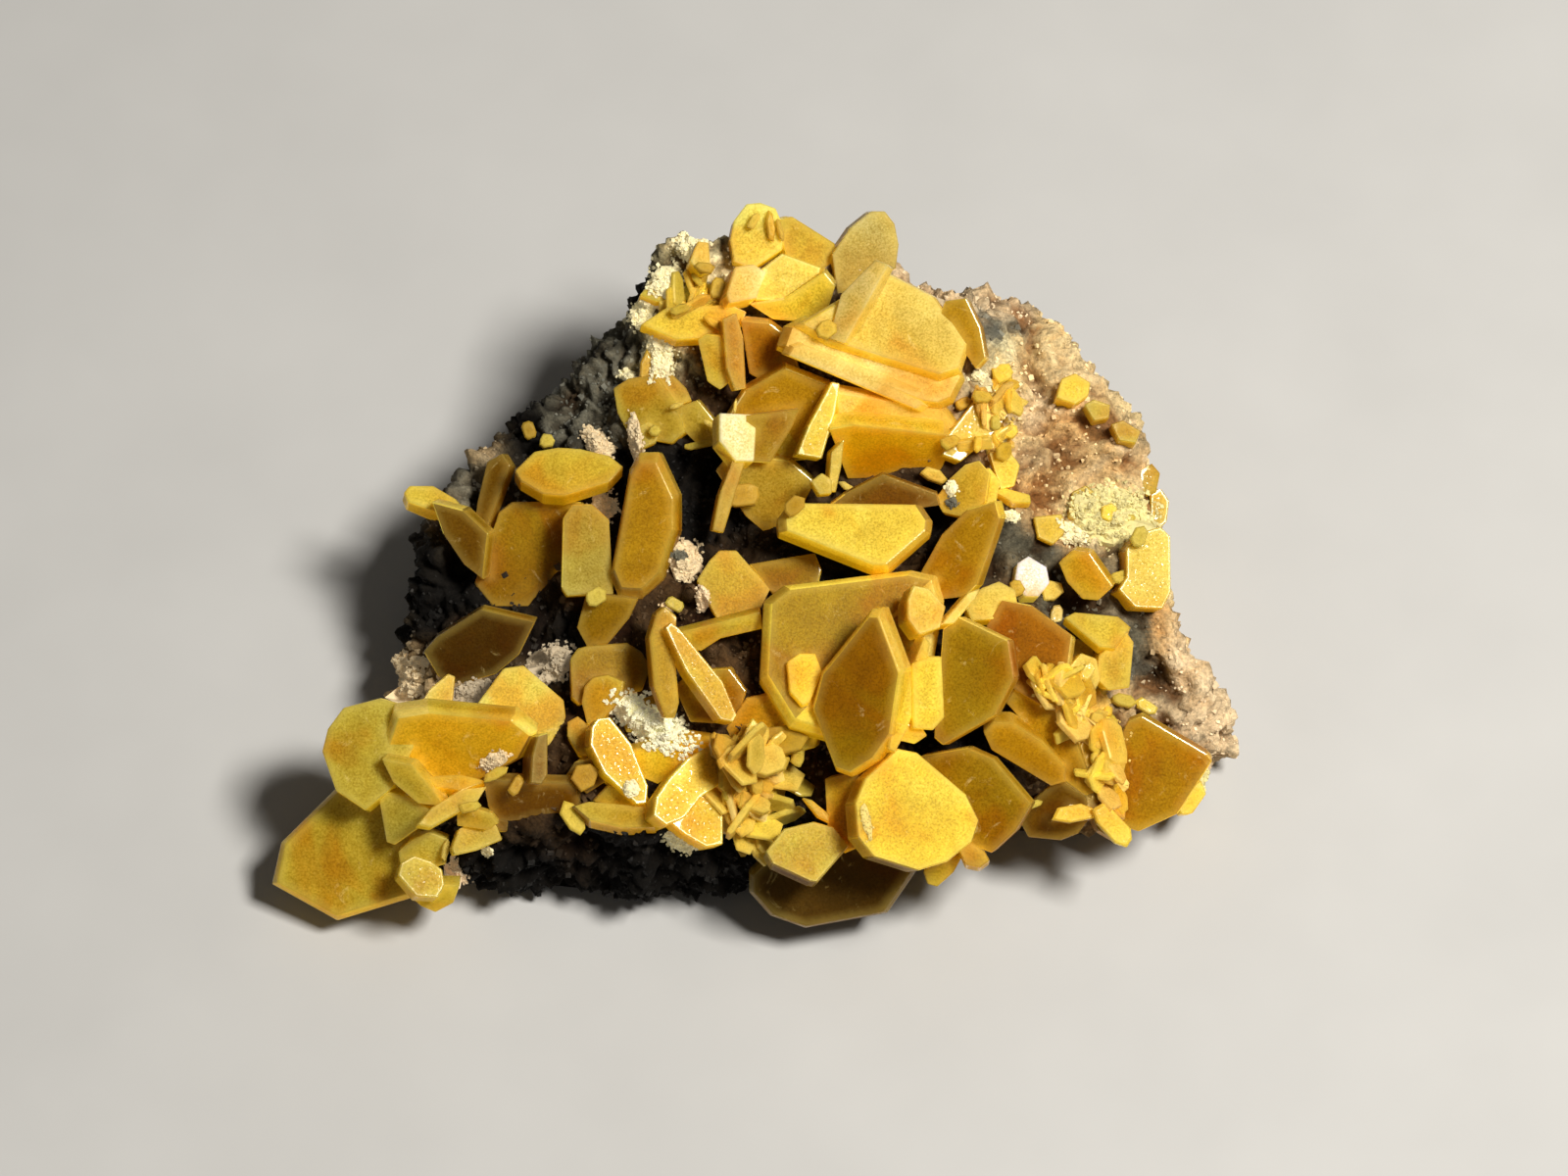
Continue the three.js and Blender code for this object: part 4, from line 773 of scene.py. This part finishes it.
CREST_CRYSTALS = [
    (-5.0, 19.5, 0.9, 2.9, 0.6, 0.4, 55, 0.2, 0.2, YELLOW),
    (-4.0, 19.1, 0.9, 1.9, 0.6, 0.4, 20, 0.1, 0.3, YELLOW),
    (-4.9, 20.8, 0.8, 1.3, 0.5, 0.4, 130, 0.0, 0.2, HONEY),
    (-4.3, 21.6, 0.9, 1.6, 0.8, 0.6, 170, 0.1, 0.1, KHAKI),
    (-6.0, 18.6, 0.8, 1.7, 0.7, 0.4, 25, 0.1, 0.4, KHAKI),
    (-3.4, 20.2, 0.9, 1.5, 1.0, 0.6, 80, 0.1, 0.1, HONEY),
    (-0.8, 25.0, 0.5, 1.3, 0.6, 0.4, 60, 0.1, 0.3, PALE),
    (0.4, 24.7, 0.4, 2.3, 0.6, 0.5, 95, 0.3, 0.1, ORANGE),
    (1.1, 24.4, 0.4, 1.7, 0.4, 0.4, 105, 0.4, 0.1, PALE),
    (-3.6, 17.6, 0.6, 1.8, 0.6, 0.4, -35, 0.1, 0.2, YELLOW),
    (-8.6, 14.4, 1.0, 2.9, 0.9, 0.4, 82, 0.3, 0.1, KHAKI),
    (-6.3, 11.7, 0.7, 1.1, 0.4, 0.3, 22, 0.1, 0.3, PALE),
    (-3.9, 10.3, 0.7, 1.2, 0.4, 0.3, -40, 0.1, 0.3, PALE),
    (-4.6, 8.9, 0.7, 2.6, 0.5, 0.4, 14, 0.0, 0.4, KHAKI),
    (-7.9, 9.9, 0.6, 0.9, 0.8, 0.4, 60, 0.1, 0.2, KHAKI),
    (-2.1, 11.6, 0.5, 1.1, 0.25, 0.25, 82, 0.2, 0.1, PALE),
    (6.0, 5.8, 0.5, 1.5, 0.5, 0.4, -35, 0.1, 0.3, PALE),
    (4.4, 17.0, 0.3, 1.5, 1.2, 0.6, 40, 0.1, 0.2, HONEY),
    (-1.6, 5.2, 0.8, 2.4, 1.6, 0.6, 10, 0.1, 0.2, AMBER),
    (2.2, 4.4, 0.6, 1.8, 1.2, 0.5, 40, 0.0, 0.2, AMBER),
]
RIGHT_CRYSTALS = [
    (17.1, 14.0, 0.6, 1.6, 1.3, 0.9, 20, 0.1, 0.2, YELLOW),
    (17.8, 12.0, 0.6, 1.3, 0.9, 0.8, 10, 0.2, 0.1, YELLOW),
    (15.5, 12.2, 0.7, 1.5, 0.9, 0.7, 0, 0.2, 0.3, HONEY),
    (14.2, 11.8, 0.5, 1.3, 0.8, 0.7, 30, 0.1, 0.2, ORANGE),
    (16.4, 13.1, 0.5, 1.2, 0.9, 0.6, 70, 0.2, 0.2, PALE),
    (17.7, 9.8, 0.5, 1.1, 1.0, 0.8, 50, 0.1, 0.1, YELLOW),
    (16.5, 10.4, 0.4, 1.0, 0.7, 0.5, 100, 0.2, 0.0, KHAKI),
    (24.7, 4.0, 0.7, 1.5, 1.2, 0.8, 70, 0.2, 0.2, YELLOW),
    (26.2, 3.6, 0.5, 1.1, 0.6, 0.5, 10, 0.1, 0.2, HONEY),
    (26.8, 2.3, 0.5, 1.9, 1.1, 0.4, 62, 0.3, 0.2, KHAKI),
    (25.6, -0.6, 0.5, 1.7, 0.9, 0.7, 20, 0.1, 0.3, HONEY),
    (20.6, -1.6, 0.6, 1.8, 1.4, 0.7, 35, 0.1, 0.2, PALE),
    (18.0, -1.4, 0.4, 1.3, 0.9, 0.7, 120, 0.0, 0.2, HONEY),
    (20.9, -3.3, 0.5, 1.5, 0.9, 0.6, 80, 0.2, 0.1, BUFF),
    (22.7, -5.9, 0.5, 2.0, 1.3, 0.7, -25, 0.2, 0.2, PALE),
    (21.6, -10.4, 0.4, 1.8, 0.9, 0.6, 60, 0.2, 0.3, HONEY),
    (23.2, -12.0, 0.4, 1.6, 1.0, 0.6, 130, 0.2, 0.2, PALE),
    (24.2, -10.3, 0.4, 1.7, 1.2, 0.6, 20, 0.1, 0.3, ORANGE),
    (25.8, -9.5, 0.5, 1.8, 0.9, 0.6, -10, 0.2, 0.3, KHAKI),
    (27.4, -9.9, 0.5, 1.7, 0.9, 0.5, -30, 0.2, 0.2, HONEY),
    (22.1, -11.7, 0.6, 1.2, 0.7, 0.5, 95, 0.3, 0.2, BUFF),
    (20.4, -9.6, 0.4, 1.3, 0.7, 0.5, -40, 0.2, 0.4, ORANGE),
    (23.6, -13.8, 0.4, 1.5, 0.7, 0.5, 110, 0.2, 0.1, HONEY),
    (19.2, -16.8, 0.5, 1.3, 0.5, 0.4, 20, 0.3, 0.1, KHAKI),
    (13.2, 9.0, 0.5, 1.6, 0.9, 0.6, 30, 0.1, 0.3, HONEY),
    (12.1, 6.6, 0.6, 1.9, 1.0, 0.6, -20, 0.2, 0.3, PALE),
    (15.2, 8.9, 0.5, 1.3, 0.7, 0.5, 80, 0.3, 0.1, YELLOW),
    (22.9, -7.3, 0.4, 1.4, 0.8, 0.5, 60, 0.2, 0.2, PALE),
    (22.1, -17.4, 0.5, 3.3, 1.3, 0.6, 8, 0.1, 0.2, YELLOW),
    (24.7, -18.2, 0.5, 3.4, 1.5, 0.7, -48, 0.2, 0.1, YELLOW),
]
LEFT_CRYSTALS = [
    (-17.1, 10.0, 0.7, 1.3, 0.9, 0.7, 110, 0.1, 0.1, OLIVE),
    (-15.7, 9.2, 0.7, 1.2, 1.0, 0.8, 0, 0.1, 0.2, KHAKI),
    (-8.0, -9.5, 0.6, 1.3, 0.9, 0.5, 20, 0.1, 0.2, AMBER),
    (-22.7, -20.0, 0.5, 1.7, 0.5, 0.4, 75, 0.4, 0.1, PALE),
    (-12.7, -14.7, 0.8, 2.1, 1.8, 0.8, 60, 0.1, 0.1, AMBER),
    (-12.0, -2.0, 0.6, 1.8, 1.2, 0.6, 30, 0.1, 0.2, KHAKI),
    (-6.4, -2.6, 0.5, 1.4, 0.8, 0.5, -30, 0.2, 0.2, KHAKI),
    (-19.0, -14.6, 0.5, 2.0, 0.8, 0.5, 30, 0.1, 0.3, KHAKI),
    (-13.6, -17.6, 0.6, 2.8, 1.3, 0.6, 118, 0.1, 0.2, HONEY),
    (-20.9, -16.9, 0.5, 1.6, 0.7, 0.5, 15, 0.1, 0.3, KHAKI),
    (-17.6, -15.4, 0.5, 1.5, 0.8, 0.5, 60, 0.2, 0.1, AMBER),
    (-9.3, -11.2, 0.5, 1.3, 0.8, 0.5, 40, 0.1, 0.2, HONEY),
]


# Thickets of thin blades that stand across each other: middle, half length and half width on the
# slope, turn in degrees, blades, their length, width and thickness, lift, and tints.
Thicket = namedtuple("Thicket", ["right", "up", "half_length", "half_width", "turn", "count",
                                 "lengths", "widths", "thicks", "lifts", "tints"])

STAR_THICKETS = [
    Thicket(-0.7, -15.7, 2.4, 3.6, 8, 40, (2.6, 4.8), (1.5, 3.0), (0.25, 0.5), (1.4, 3.0),
            [PALE, PALE, BUFF, KHAKI, GOLD]),
]
RIGHT_THICKETS = [
    Thicket(22.6, -10.4, 4.4, 1.7, -42, 26, (2.2, 4.2), (1.4, 2.6), (0.3, 0.6), (0.1, 0.8),
            [APRICOT, PALE, GOLD, ORANGE]),
    Thicket(24.6, -15.0, 1.4, 2.0, 25, 9, (2.2, 3.8), (1.2, 2.2), (0.3, 0.6), (0.1, 0.7),
            [GOLD, PALE, APRICOT]),
    Thicket(16.6, 12.2, 1.8, 1.2, 20, 13, (1.6, 3.0), (1.0, 1.8), (0.3, 0.5), (0.1, 0.6),
            [PALE, APRICOT, ORANGE]),
    Thicket(17.0, 9.2, 0.9, 1.5, 10, 7, (1.2, 2.4), (0.9, 1.5), (0.3, 0.5), (0.1, 0.5),
            [PALE, APRICOT, ORANGE]),
]
CREST_THICKETS = [
    Thicket(-5.0, 19.6, 1.9, 1.5, 20, 16, (1.8, 3.2), (1.0, 1.8), (0.25, 0.45), (0.2, 0.9),
            [GOLD, HONEY, KHAKI, PALE]),
]

# How the blades face round the slope (mean and spread), how far they stand up, how they twist, and
# how much lower they stand at the patch's border.
BLADE_FACING = (0.1, 0.75)
BLADE_LEAN = (0.66, 0.99)
BLADE_TWIST = 0.2
BLADE_DROP = 0.5


def patch_place(patch, along, across):
    """A place on a turned oval patch, in shares of its half length and half width."""
    cosine, sine = math.cos(math.radians(patch.turn)), math.sin(math.radians(patch.turn))
    return (patch.right + along * patch.half_length * cosine - across * patch.half_width * sine,
            patch.up + along * patch.half_length * sine + across * patch.half_width * cosine)


def add_thicket(heap, tree, rng, thicket):
    """Blades all over a patch, the tallest in its middle."""
    for _ in range(thicket.count):
        angle, reach = rng.uniform(0, math.tau), math.sqrt(rng.random())
        place = patch_place(thicket, reach * math.cos(angle), reach * math.sin(angle))
        looks = rng.gauss(*BLADE_FACING)
        lean = rng.uniform(*BLADE_LEAN)
        size = (rng.uniform(*thicket.lengths), rng.uniform(*thicket.widths), rng.uniform(*thicket.thicks))
        turn = looks + math.pi / 2 + rng.gauss(0, BLADE_TWIST)
        tint = rng.choice(thicket.tints)
        lift = rng.uniform(*thicket.lifts) * (1 - reach * BLADE_DROP)
        face = (lean * math.cos(looks), lean * math.sin(looks))
        add_tablet(heap, tree, rng, place, size, turn, face, tint, lift)


def small_crystals(name, crystals, thickets, tree, seed):
    """One joined piece of small crystals and thickets."""
    rng = random.Random(seed)
    heap = Heap()
    for right, up, lift, length, width, thick, turn, face_right, face_up, tint in crystals:
        add_tablet(heap, tree, rng, (right, up), (length, width, thick), math.radians(turn),
                   (face_right, face_up), tint, lift)
    for thicket in thickets:
        add_thicket(heap, tree, rng, thicket)
    heap.piece(name, DRUSE, "wulfenite")


GRAIN_CORNERS = [Vector(corner) for corner in (
    (-1, -1, -1), (1, -1, -1), (1, 1, -1), (-1, 1, -1), (-1, -1, 1), (1, -1, 1), (1, 1, 1), (-1, 1, 1))]
GRAIN_FACES = [(0, 3, 2, 1), (4, 5, 6, 7), (0, 1, 5, 4), (1, 2, 6, 5), (2, 3, 7, 6), (3, 0, 4, 7)]
# A grain's size over its half width, and how much its sides, corners and colour vary.
GRAIN_SHARE = 3.2
GRAIN_STRETCH = (0.6, 1.25)
GRAIN_WOBBLE = (0.7, 1.15)
GRAIN_SPREAD = 0.3


def add_grain(heap, rng, middle, size, tint):
    """A tiny irregular block."""
    turn = Euler([rng.uniform(0, math.tau) for _ in range(3)]).to_matrix()
    stretch = Vector([rng.uniform(*GRAIN_STRETCH) for _ in range(3)]) * size / GRAIN_SHARE
    points = []
    for corner in GRAIN_CORNERS:
        scaled = Vector([corner[i] * stretch[i] * rng.uniform(*GRAIN_WOBBLE) for i in range(3)])
        points.append(middle + turn @ scaled * MM)
    heap.add(points, GRAIN_FACES, shaded(tint, rng, GRAIN_SPREAD), [0.0] * len(points))


# Heaps of crumbs: right and up the slope, half their length and width, turn in degrees, grains,
# their size, how high they pile up, and tint.
Crumbs = namedtuple("Crumbs", "right up half_length half_width turn count size pile tint")

CRUMB_HEAPS = [
    (-7.9, -11.1, 3.3, 1.5, -32, 800, 0.4, 2.3, IVORY),
    (7.2, -17.8, 0.35, 1.5, 12, 40, 0.24, 0.25, BUFF),
    (-25.8, -8.1, 2.3, 1.9, 0, 420, 0.42, 0.9, DUN),
    (-21.1, -9.2, 1.8, 1.2, 20, 260, 0.4, 0.8, FAWN),
    (-15.4, -6.9, 1.9, 1.3, 20, 260, 0.4, 0.8, FAWN),
    (-19.2, -13.7, 1.3, 0.6, 25, 90, 0.32, 0.5, DUN),
    (-9.3, 9.4, 0.5, 1.9, 8, 130, 0.32, 0.9, DUN),
    (-12.0, 9.1, 1.6, 0.8, -42, 200, 0.34, 0.9, DUN),
    (-7.6, 15.3, 1.1, 2.1, 0, 330, 0.36, 1.1, CREAM),
    (-8.8, 18.5, 1.0, 1.3, -20, 190, 0.34, 0.8, CREAM),
    (-7.3, 20.8, 1.6, 1.3, 0, 240, 0.34, 0.5, CREAM),
    (-5.3, 23.6, 1.1, 1.4, 0, 220, 0.36, 0.8, CREAM),
    (-10.0, 14.0, 0.6, 0.5, 0, 50, 0.3, 0.4, CREAM),
    (-11.6, 4.0, 1.0, 1.7, 0, 200, 0.32, 0.7, TAN),
    (-5.6, 0.5, 1.2, 1.5, 0, 260, 0.34, 0.8, DUN),
    (-4.4, -2.2, 0.5, 1.0, 0, 70, 0.3, 0.5, PINK),
    (-6.7, -2.7, 0.8, 0.5, 10, 50, 0.3, 0.4, TAN),
    (-6.0, -19.3, 1.3, 0.9, -25, 200, 0.32, 0.7, CREAM),
    (-22.0, -21.8, 1.2, 1.3, 0, 200, 0.34, 0.7, PINK),
    (-19.8, -20.2, 0.5, 0.4, 0, 30, 0.26, 0.3, CREAM),
    (25.0, 3.9, 3.2, 2.1, -8, 1150, 0.36, 1.0, SULPHUR),
    (21.9, 2.6, 1.5, 0.9, -10, 200, 0.34, 0.6, CREAM),
    (15.4, 13.8, 0.6, 0.4, 0, 50, 0.28, 0.4, CREAM),
    (16.6, 9.9, 0.9, 1.2, 20, 130, 0.3, 0.4, SULPHUR),
    (13.3, 5.7, 0.5, 0.6, 0, 40, 0.3, 0.4, CREAM),
    (13.3, 4.7, 0.5, 0.4, 0, 40, 0.3, 0.4, SLATE),
    (17.6, 3.8, 0.8, 0.5, 0, 60, 0.3, 0.4, CREAM),
    (32.0, -15.3, 0.8, 1.2, 10, 120, 0.32, 0.4, SULPHUR),
    (23.0, -11.2, 1.8, 1.4, -30, 160, 0.28, 0.4, SULPHUR),
    (-9.4, -15.6, 0.6, 0.7, 0, 50, 0.3, 0.5, CREAM),
    (-22.4, 7.2, 2.3, 1.9, 40, 380, 0.42, 1.2, DUN),
    (-6.0, 0.9, 0.7, 0.5, 0, 50, 0.34, 1.3, SLATE),
    (22.6, -10.4, 4.2, 1.6, -42, 120, 0.3, 0.7, APRICOT),
    (24.6, -15.0, 1.3, 1.9, 25, 40, 0.3, 0.5, APRICOT),
    (-0.7, -15.9, 2.0, 3.0, 8, 100, 0.3, 1.3, HONEY),
    (16.7, 11.0, 1.3, 2.2, 15, 60, 0.3, 0.4, APRICOT),
    (-5.0, 19.6, 1.7, 1.3, 20, 60, 0.3, 0.4, HONEY),
]
# A heap's body: rings and sides, the wobble of its outline, how deep its rim and its foot are sunk,
# and the width of its innermost ring.
HEAP_RINGS = 7
HEAP_SIDES = 26
HEAP_WOBBLE = (1.7, 0.3)
HEAP_SUNK = 0.3
HEAP_FOOT = 1
HEAP_CORE = 0.02
# How far it climbs on what stands beside it, how far down it may hang, and how it draws back from there.
HEAP_CLIMB = 0.7
HEAP_DROP = 2.5
HEAP_RETREAT = 0.85
# Sizes of the lumps on it, the share of the finer ones, and the layer of noise that they come from.
HEAP_LUMPS = (0.9, 0.4)
HEAP_FINE_SHARE = 0.6
HEAP_FINE_LAYER = 3
# Its height where it is smooth, what the lumps add to that, and how flat its top is.
HEAP_RISE = (0.8, 0.5)
HEAP_ROUNDING = 0.6
# Loose grains: how they scatter, how far out they lie, their sizes, and how deep they sit.
CRUMB_SCATTER = 0.5
CRUMB_REACH = 1.25
CRUMB_SIZES = (0.6, 1.3)
CRUMB_SUNK = 0.05


def heap_rise(crumbs, right, up, edge):
    """How high the crumbs lie at a place, where edge runs from 0 in the middle to 1 at the rim."""
    large, fine = HEAP_LUMPS
    rough = noise.noise(Vector((right, up, 0)) / large)
    rough += HEAP_FINE_SHARE * noise.noise(Vector((right, up, HEAP_FINE_LAYER)) / fine)
    rise, gain = HEAP_RISE
    return crumbs.pile * max(0.0, 1 - edge ** 2) ** HEAP_ROUNDING * (rise + gain * rough)


def add_mound(heap, tree, crumbs, level):
    """The body of a heap, low and lumpy, that stays under the crystals beside it."""
    frequency, depth = HEAP_WOBBLE
    points = []
    for ring in range(HEAP_RINGS + 1):
        for side in range(HEAP_SIDES):
            angle = math.tau * side / HEAP_SIDES
            around = Vector((math.cos(angle), math.sin(angle), crumbs.right))
            edge = max(ring, HEAP_CORE) / HEAP_RINGS
            reach = edge * (1 + depth * noise.noise(around * frequency))
            base = None
            while base is None or base < level - HEAP_DROP:
                right, up = patch_place(crumbs, reach * math.cos(angle), reach * math.sin(angle))
                base = host_out(tree, right, up)
                reach *= HEAP_RETREAT
            base = min(base, level + HEAP_CLIMB)
            sunk = HEAP_SUNK if ring == HEAP_RINGS else 0
            points.append(on_slope(right, up, base + heap_rise(crumbs, right, up, edge) - sunk))
    foot = len(points)
    points.append(on_slope(crumbs.right, crumbs.up, level - HEAP_FOOT))
    faces = []
    for ring in range(HEAP_RINGS):
        for side in range(HEAP_SIDES):
            inner, outer = ring * HEAP_SIDES, (ring + 1) * HEAP_SIDES
            after = (side + 1) % HEAP_SIDES
            faces.append((inner + side, outer + side, outer + after, inner + after))
    faces.append(tuple(range(HEAP_SIDES)))
    last = HEAP_RINGS * HEAP_SIDES
    faces.extend((foot, last + (side + 1) % HEAP_SIDES, last + side) for side in range(HEAP_SIDES))
    heap.add(points, faces, crumbs.tint, [0.0] * len(points))


def crumb_piece(tree):
    """Heaps of crumbs, each a lumpy body with loose grains on it."""
    rng = random.Random(CRUMB_SEED)
    heap = Heap()
    for crumbs in map(Crumbs._make, CRUMB_HEAPS):
        level = host_out(tree, crumbs.right, crumbs.up)
        if level is None:
            continue
        add_mound(heap, tree, crumbs, level)
        for _ in range(crumbs.count):
            along, across = rng.gauss(0, CRUMB_SCATTER), rng.gauss(0, CRUMB_SCATTER)
            edge = math.hypot(along, across)
            right, up = patch_place(crumbs, along, across)
            base = host_out(tree, right, up)
            if edge > CRUMB_REACH or base is None or base > level + crumbs.pile + HEAP_CLIMB:
                continue
            top = max(base, min(base, level + HEAP_CLIMB) + heap_rise(crumbs, right, up, edge))
            grain = crumbs.size * rng.uniform(*CRUMB_SIZES)
            add_grain(heap, rng, on_slope(right, up, top - CRUMB_SUNK * grain), grain, crumbs.tint)
    heap.piece("crumbs", SUGAR, "matrix")


# Loose grains and larger lumps on the rock, above its foot.
GRAIN_COUNT = 12000
LUMP_COUNT = 1300
GRAIN_SIZES = (0.14, 0.4)
LUMP_SIZES = (0.45, 0.85)
GRAINS_FROM = 0.6 * MM


def grain_piece(rock):
    """Grains and lumps all over the rock, of the colour of the rock under them."""
    rng = random.Random(GRAIN_SEED)
    mesh = rock.data
    colours = mesh.color_attributes["tint"].data
    heap = Heap()
    for rank, index in enumerate(rng.sample(range(len(mesh.polygons)), GRAIN_COUNT)):
        polygon = mesh.polygons[index]
        if polygon.center.z < GRAINS_FROM:
            continue
        tint = colours[polygon.loop_start].color[:3]
        size = rng.uniform(*(LUMP_SIZES if rank < LUMP_COUNT else GRAIN_SIZES))
        add_grain(heap, rng, polygon.center, size, tint)
    heap.piece("rock_grains", SUGAR, "matrix")


# Stage: a pale floor, and two lights: the way to each, its distance, size, watts and colour.
FLOOR_HALF = 1.5
FLOOR_PATTERN = 60
KEY_LIGHT = ((0.42, -0.17, 0.895), 0.45, 0.1, 2.75, (1, 0.96, 0.88))
FILL_LIGHT = ((-0.4, -0.7, 0.6), 0.6, 0.5, 0.08, (1, 0.9, 0.76))
WORLD_COLOUR = (1.0, 0.94, 0.84, 1)
WORLD_STRENGTH = 0.07


def add_floor():
    mesh = bpy.data.meshes.new("floor")
    corners = [(x * FLOOR_HALF, y * FLOOR_HALF, 0) for x, y in ((-1, -1), (1, -1), (1, 1), (-1, 1))]
    mesh.from_pydata(corners, [], [(0, 1, 2, 3)])
    floor = bpy.data.objects.new("floor", mesh)
    bpy.context.scene.collection.objects.link(floor)
    shader = Shader("floor")
    pale = shader.ramp(shader.noise(FLOOR_PATTERN, 3), (0.3, (0.5, 0.5, 0.5)), (0.7, (0.53, 0.53, 0.53)))
    shader.feed(pale, shader.surface.inputs["Base Color"])
    shader.surface_is(Roughness=0.9, Specular_IOR_Level=0.2)
    mesh.materials.append(shader.material)


def add_light(name, direction, distance, size, watts, colour):
    """A square light that looks at the specimen."""
    light = bpy.data.lights.new(name, "AREA")
    light.size = size
    light.energy = watts
    light.color = colour
    lamp = bpy.data.objects.new(name, light)
    bpy.context.scene.collection.objects.link(lamp)
    lamp.location = Vector(direction).normalized() * distance
    lamp.rotation_euler = (-lamp.location).to_track_quat("-Z", "Y").to_euler()


def add_camera():
    camera = bpy.data.cameras.new("camera")
    camera.sensor_width = SENSOR_WIDTH
    camera.lens = SENSOR_WIDTH * CAMERA_DISTANCE / VIEW_WIDTH
    camera.clip_start = CLIP_START
    holder = bpy.data.objects.new("camera", camera)
    bpy.context.scene.collection.objects.link(holder)
    holder.location = on_slope(*CAMERA_AIM) + OUT * CAMERA_DISTANCE
    holder.rotation_euler = (-OUT).to_track_quat("-Z", "Y").to_euler()
    bpy.context.scene.camera = holder


def add_world():
    world = bpy.data.worlds.new("studio")
    world.use_nodes = True
    background = world.node_tree.nodes["Background"]
    background.inputs["Color"].default_value = WORLD_COLOUR
    background.inputs["Strength"].default_value = WORLD_STRENGTH
    bpy.context.scene.world = world


# Put together. The small crystals and the crumbs stand on the rock and on the large crystals.
matrix_tree = tree_of([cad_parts["matrix"].data])
crystals = [crystal_piece(node, matrix_tree) for node in sorted(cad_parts) if node != "matrix"]
rock = rock_piece(tree_of([crystal.data for crystal in crystals]))
ground = tree_of([rock.data] + [crystal.data for crystal in crystals])
small_crystals("star_cluster", STAR_CRYSTALS, STAR_THICKETS, ground, STAR_SEED)
small_crystals("crest_crystals", CREST_CRYSTALS, CREST_THICKETS, ground, CREST_SEED)
small_crystals("right_crystals", RIGHT_CRYSTALS, RIGHT_THICKETS, ground, RIGHT_SEED)
small_crystals("left_crystals", LEFT_CRYSTALS, [], ground, LEFT_SEED)
crumb_piece(ground)
grain_piece(rock)

add_floor()
add_light("key", *KEY_LIGHT)
add_light("fill", *FILL_LIGHT)
add_world()
add_camera()
bpy.context.scene.view_settings.view_transform = "Standard"
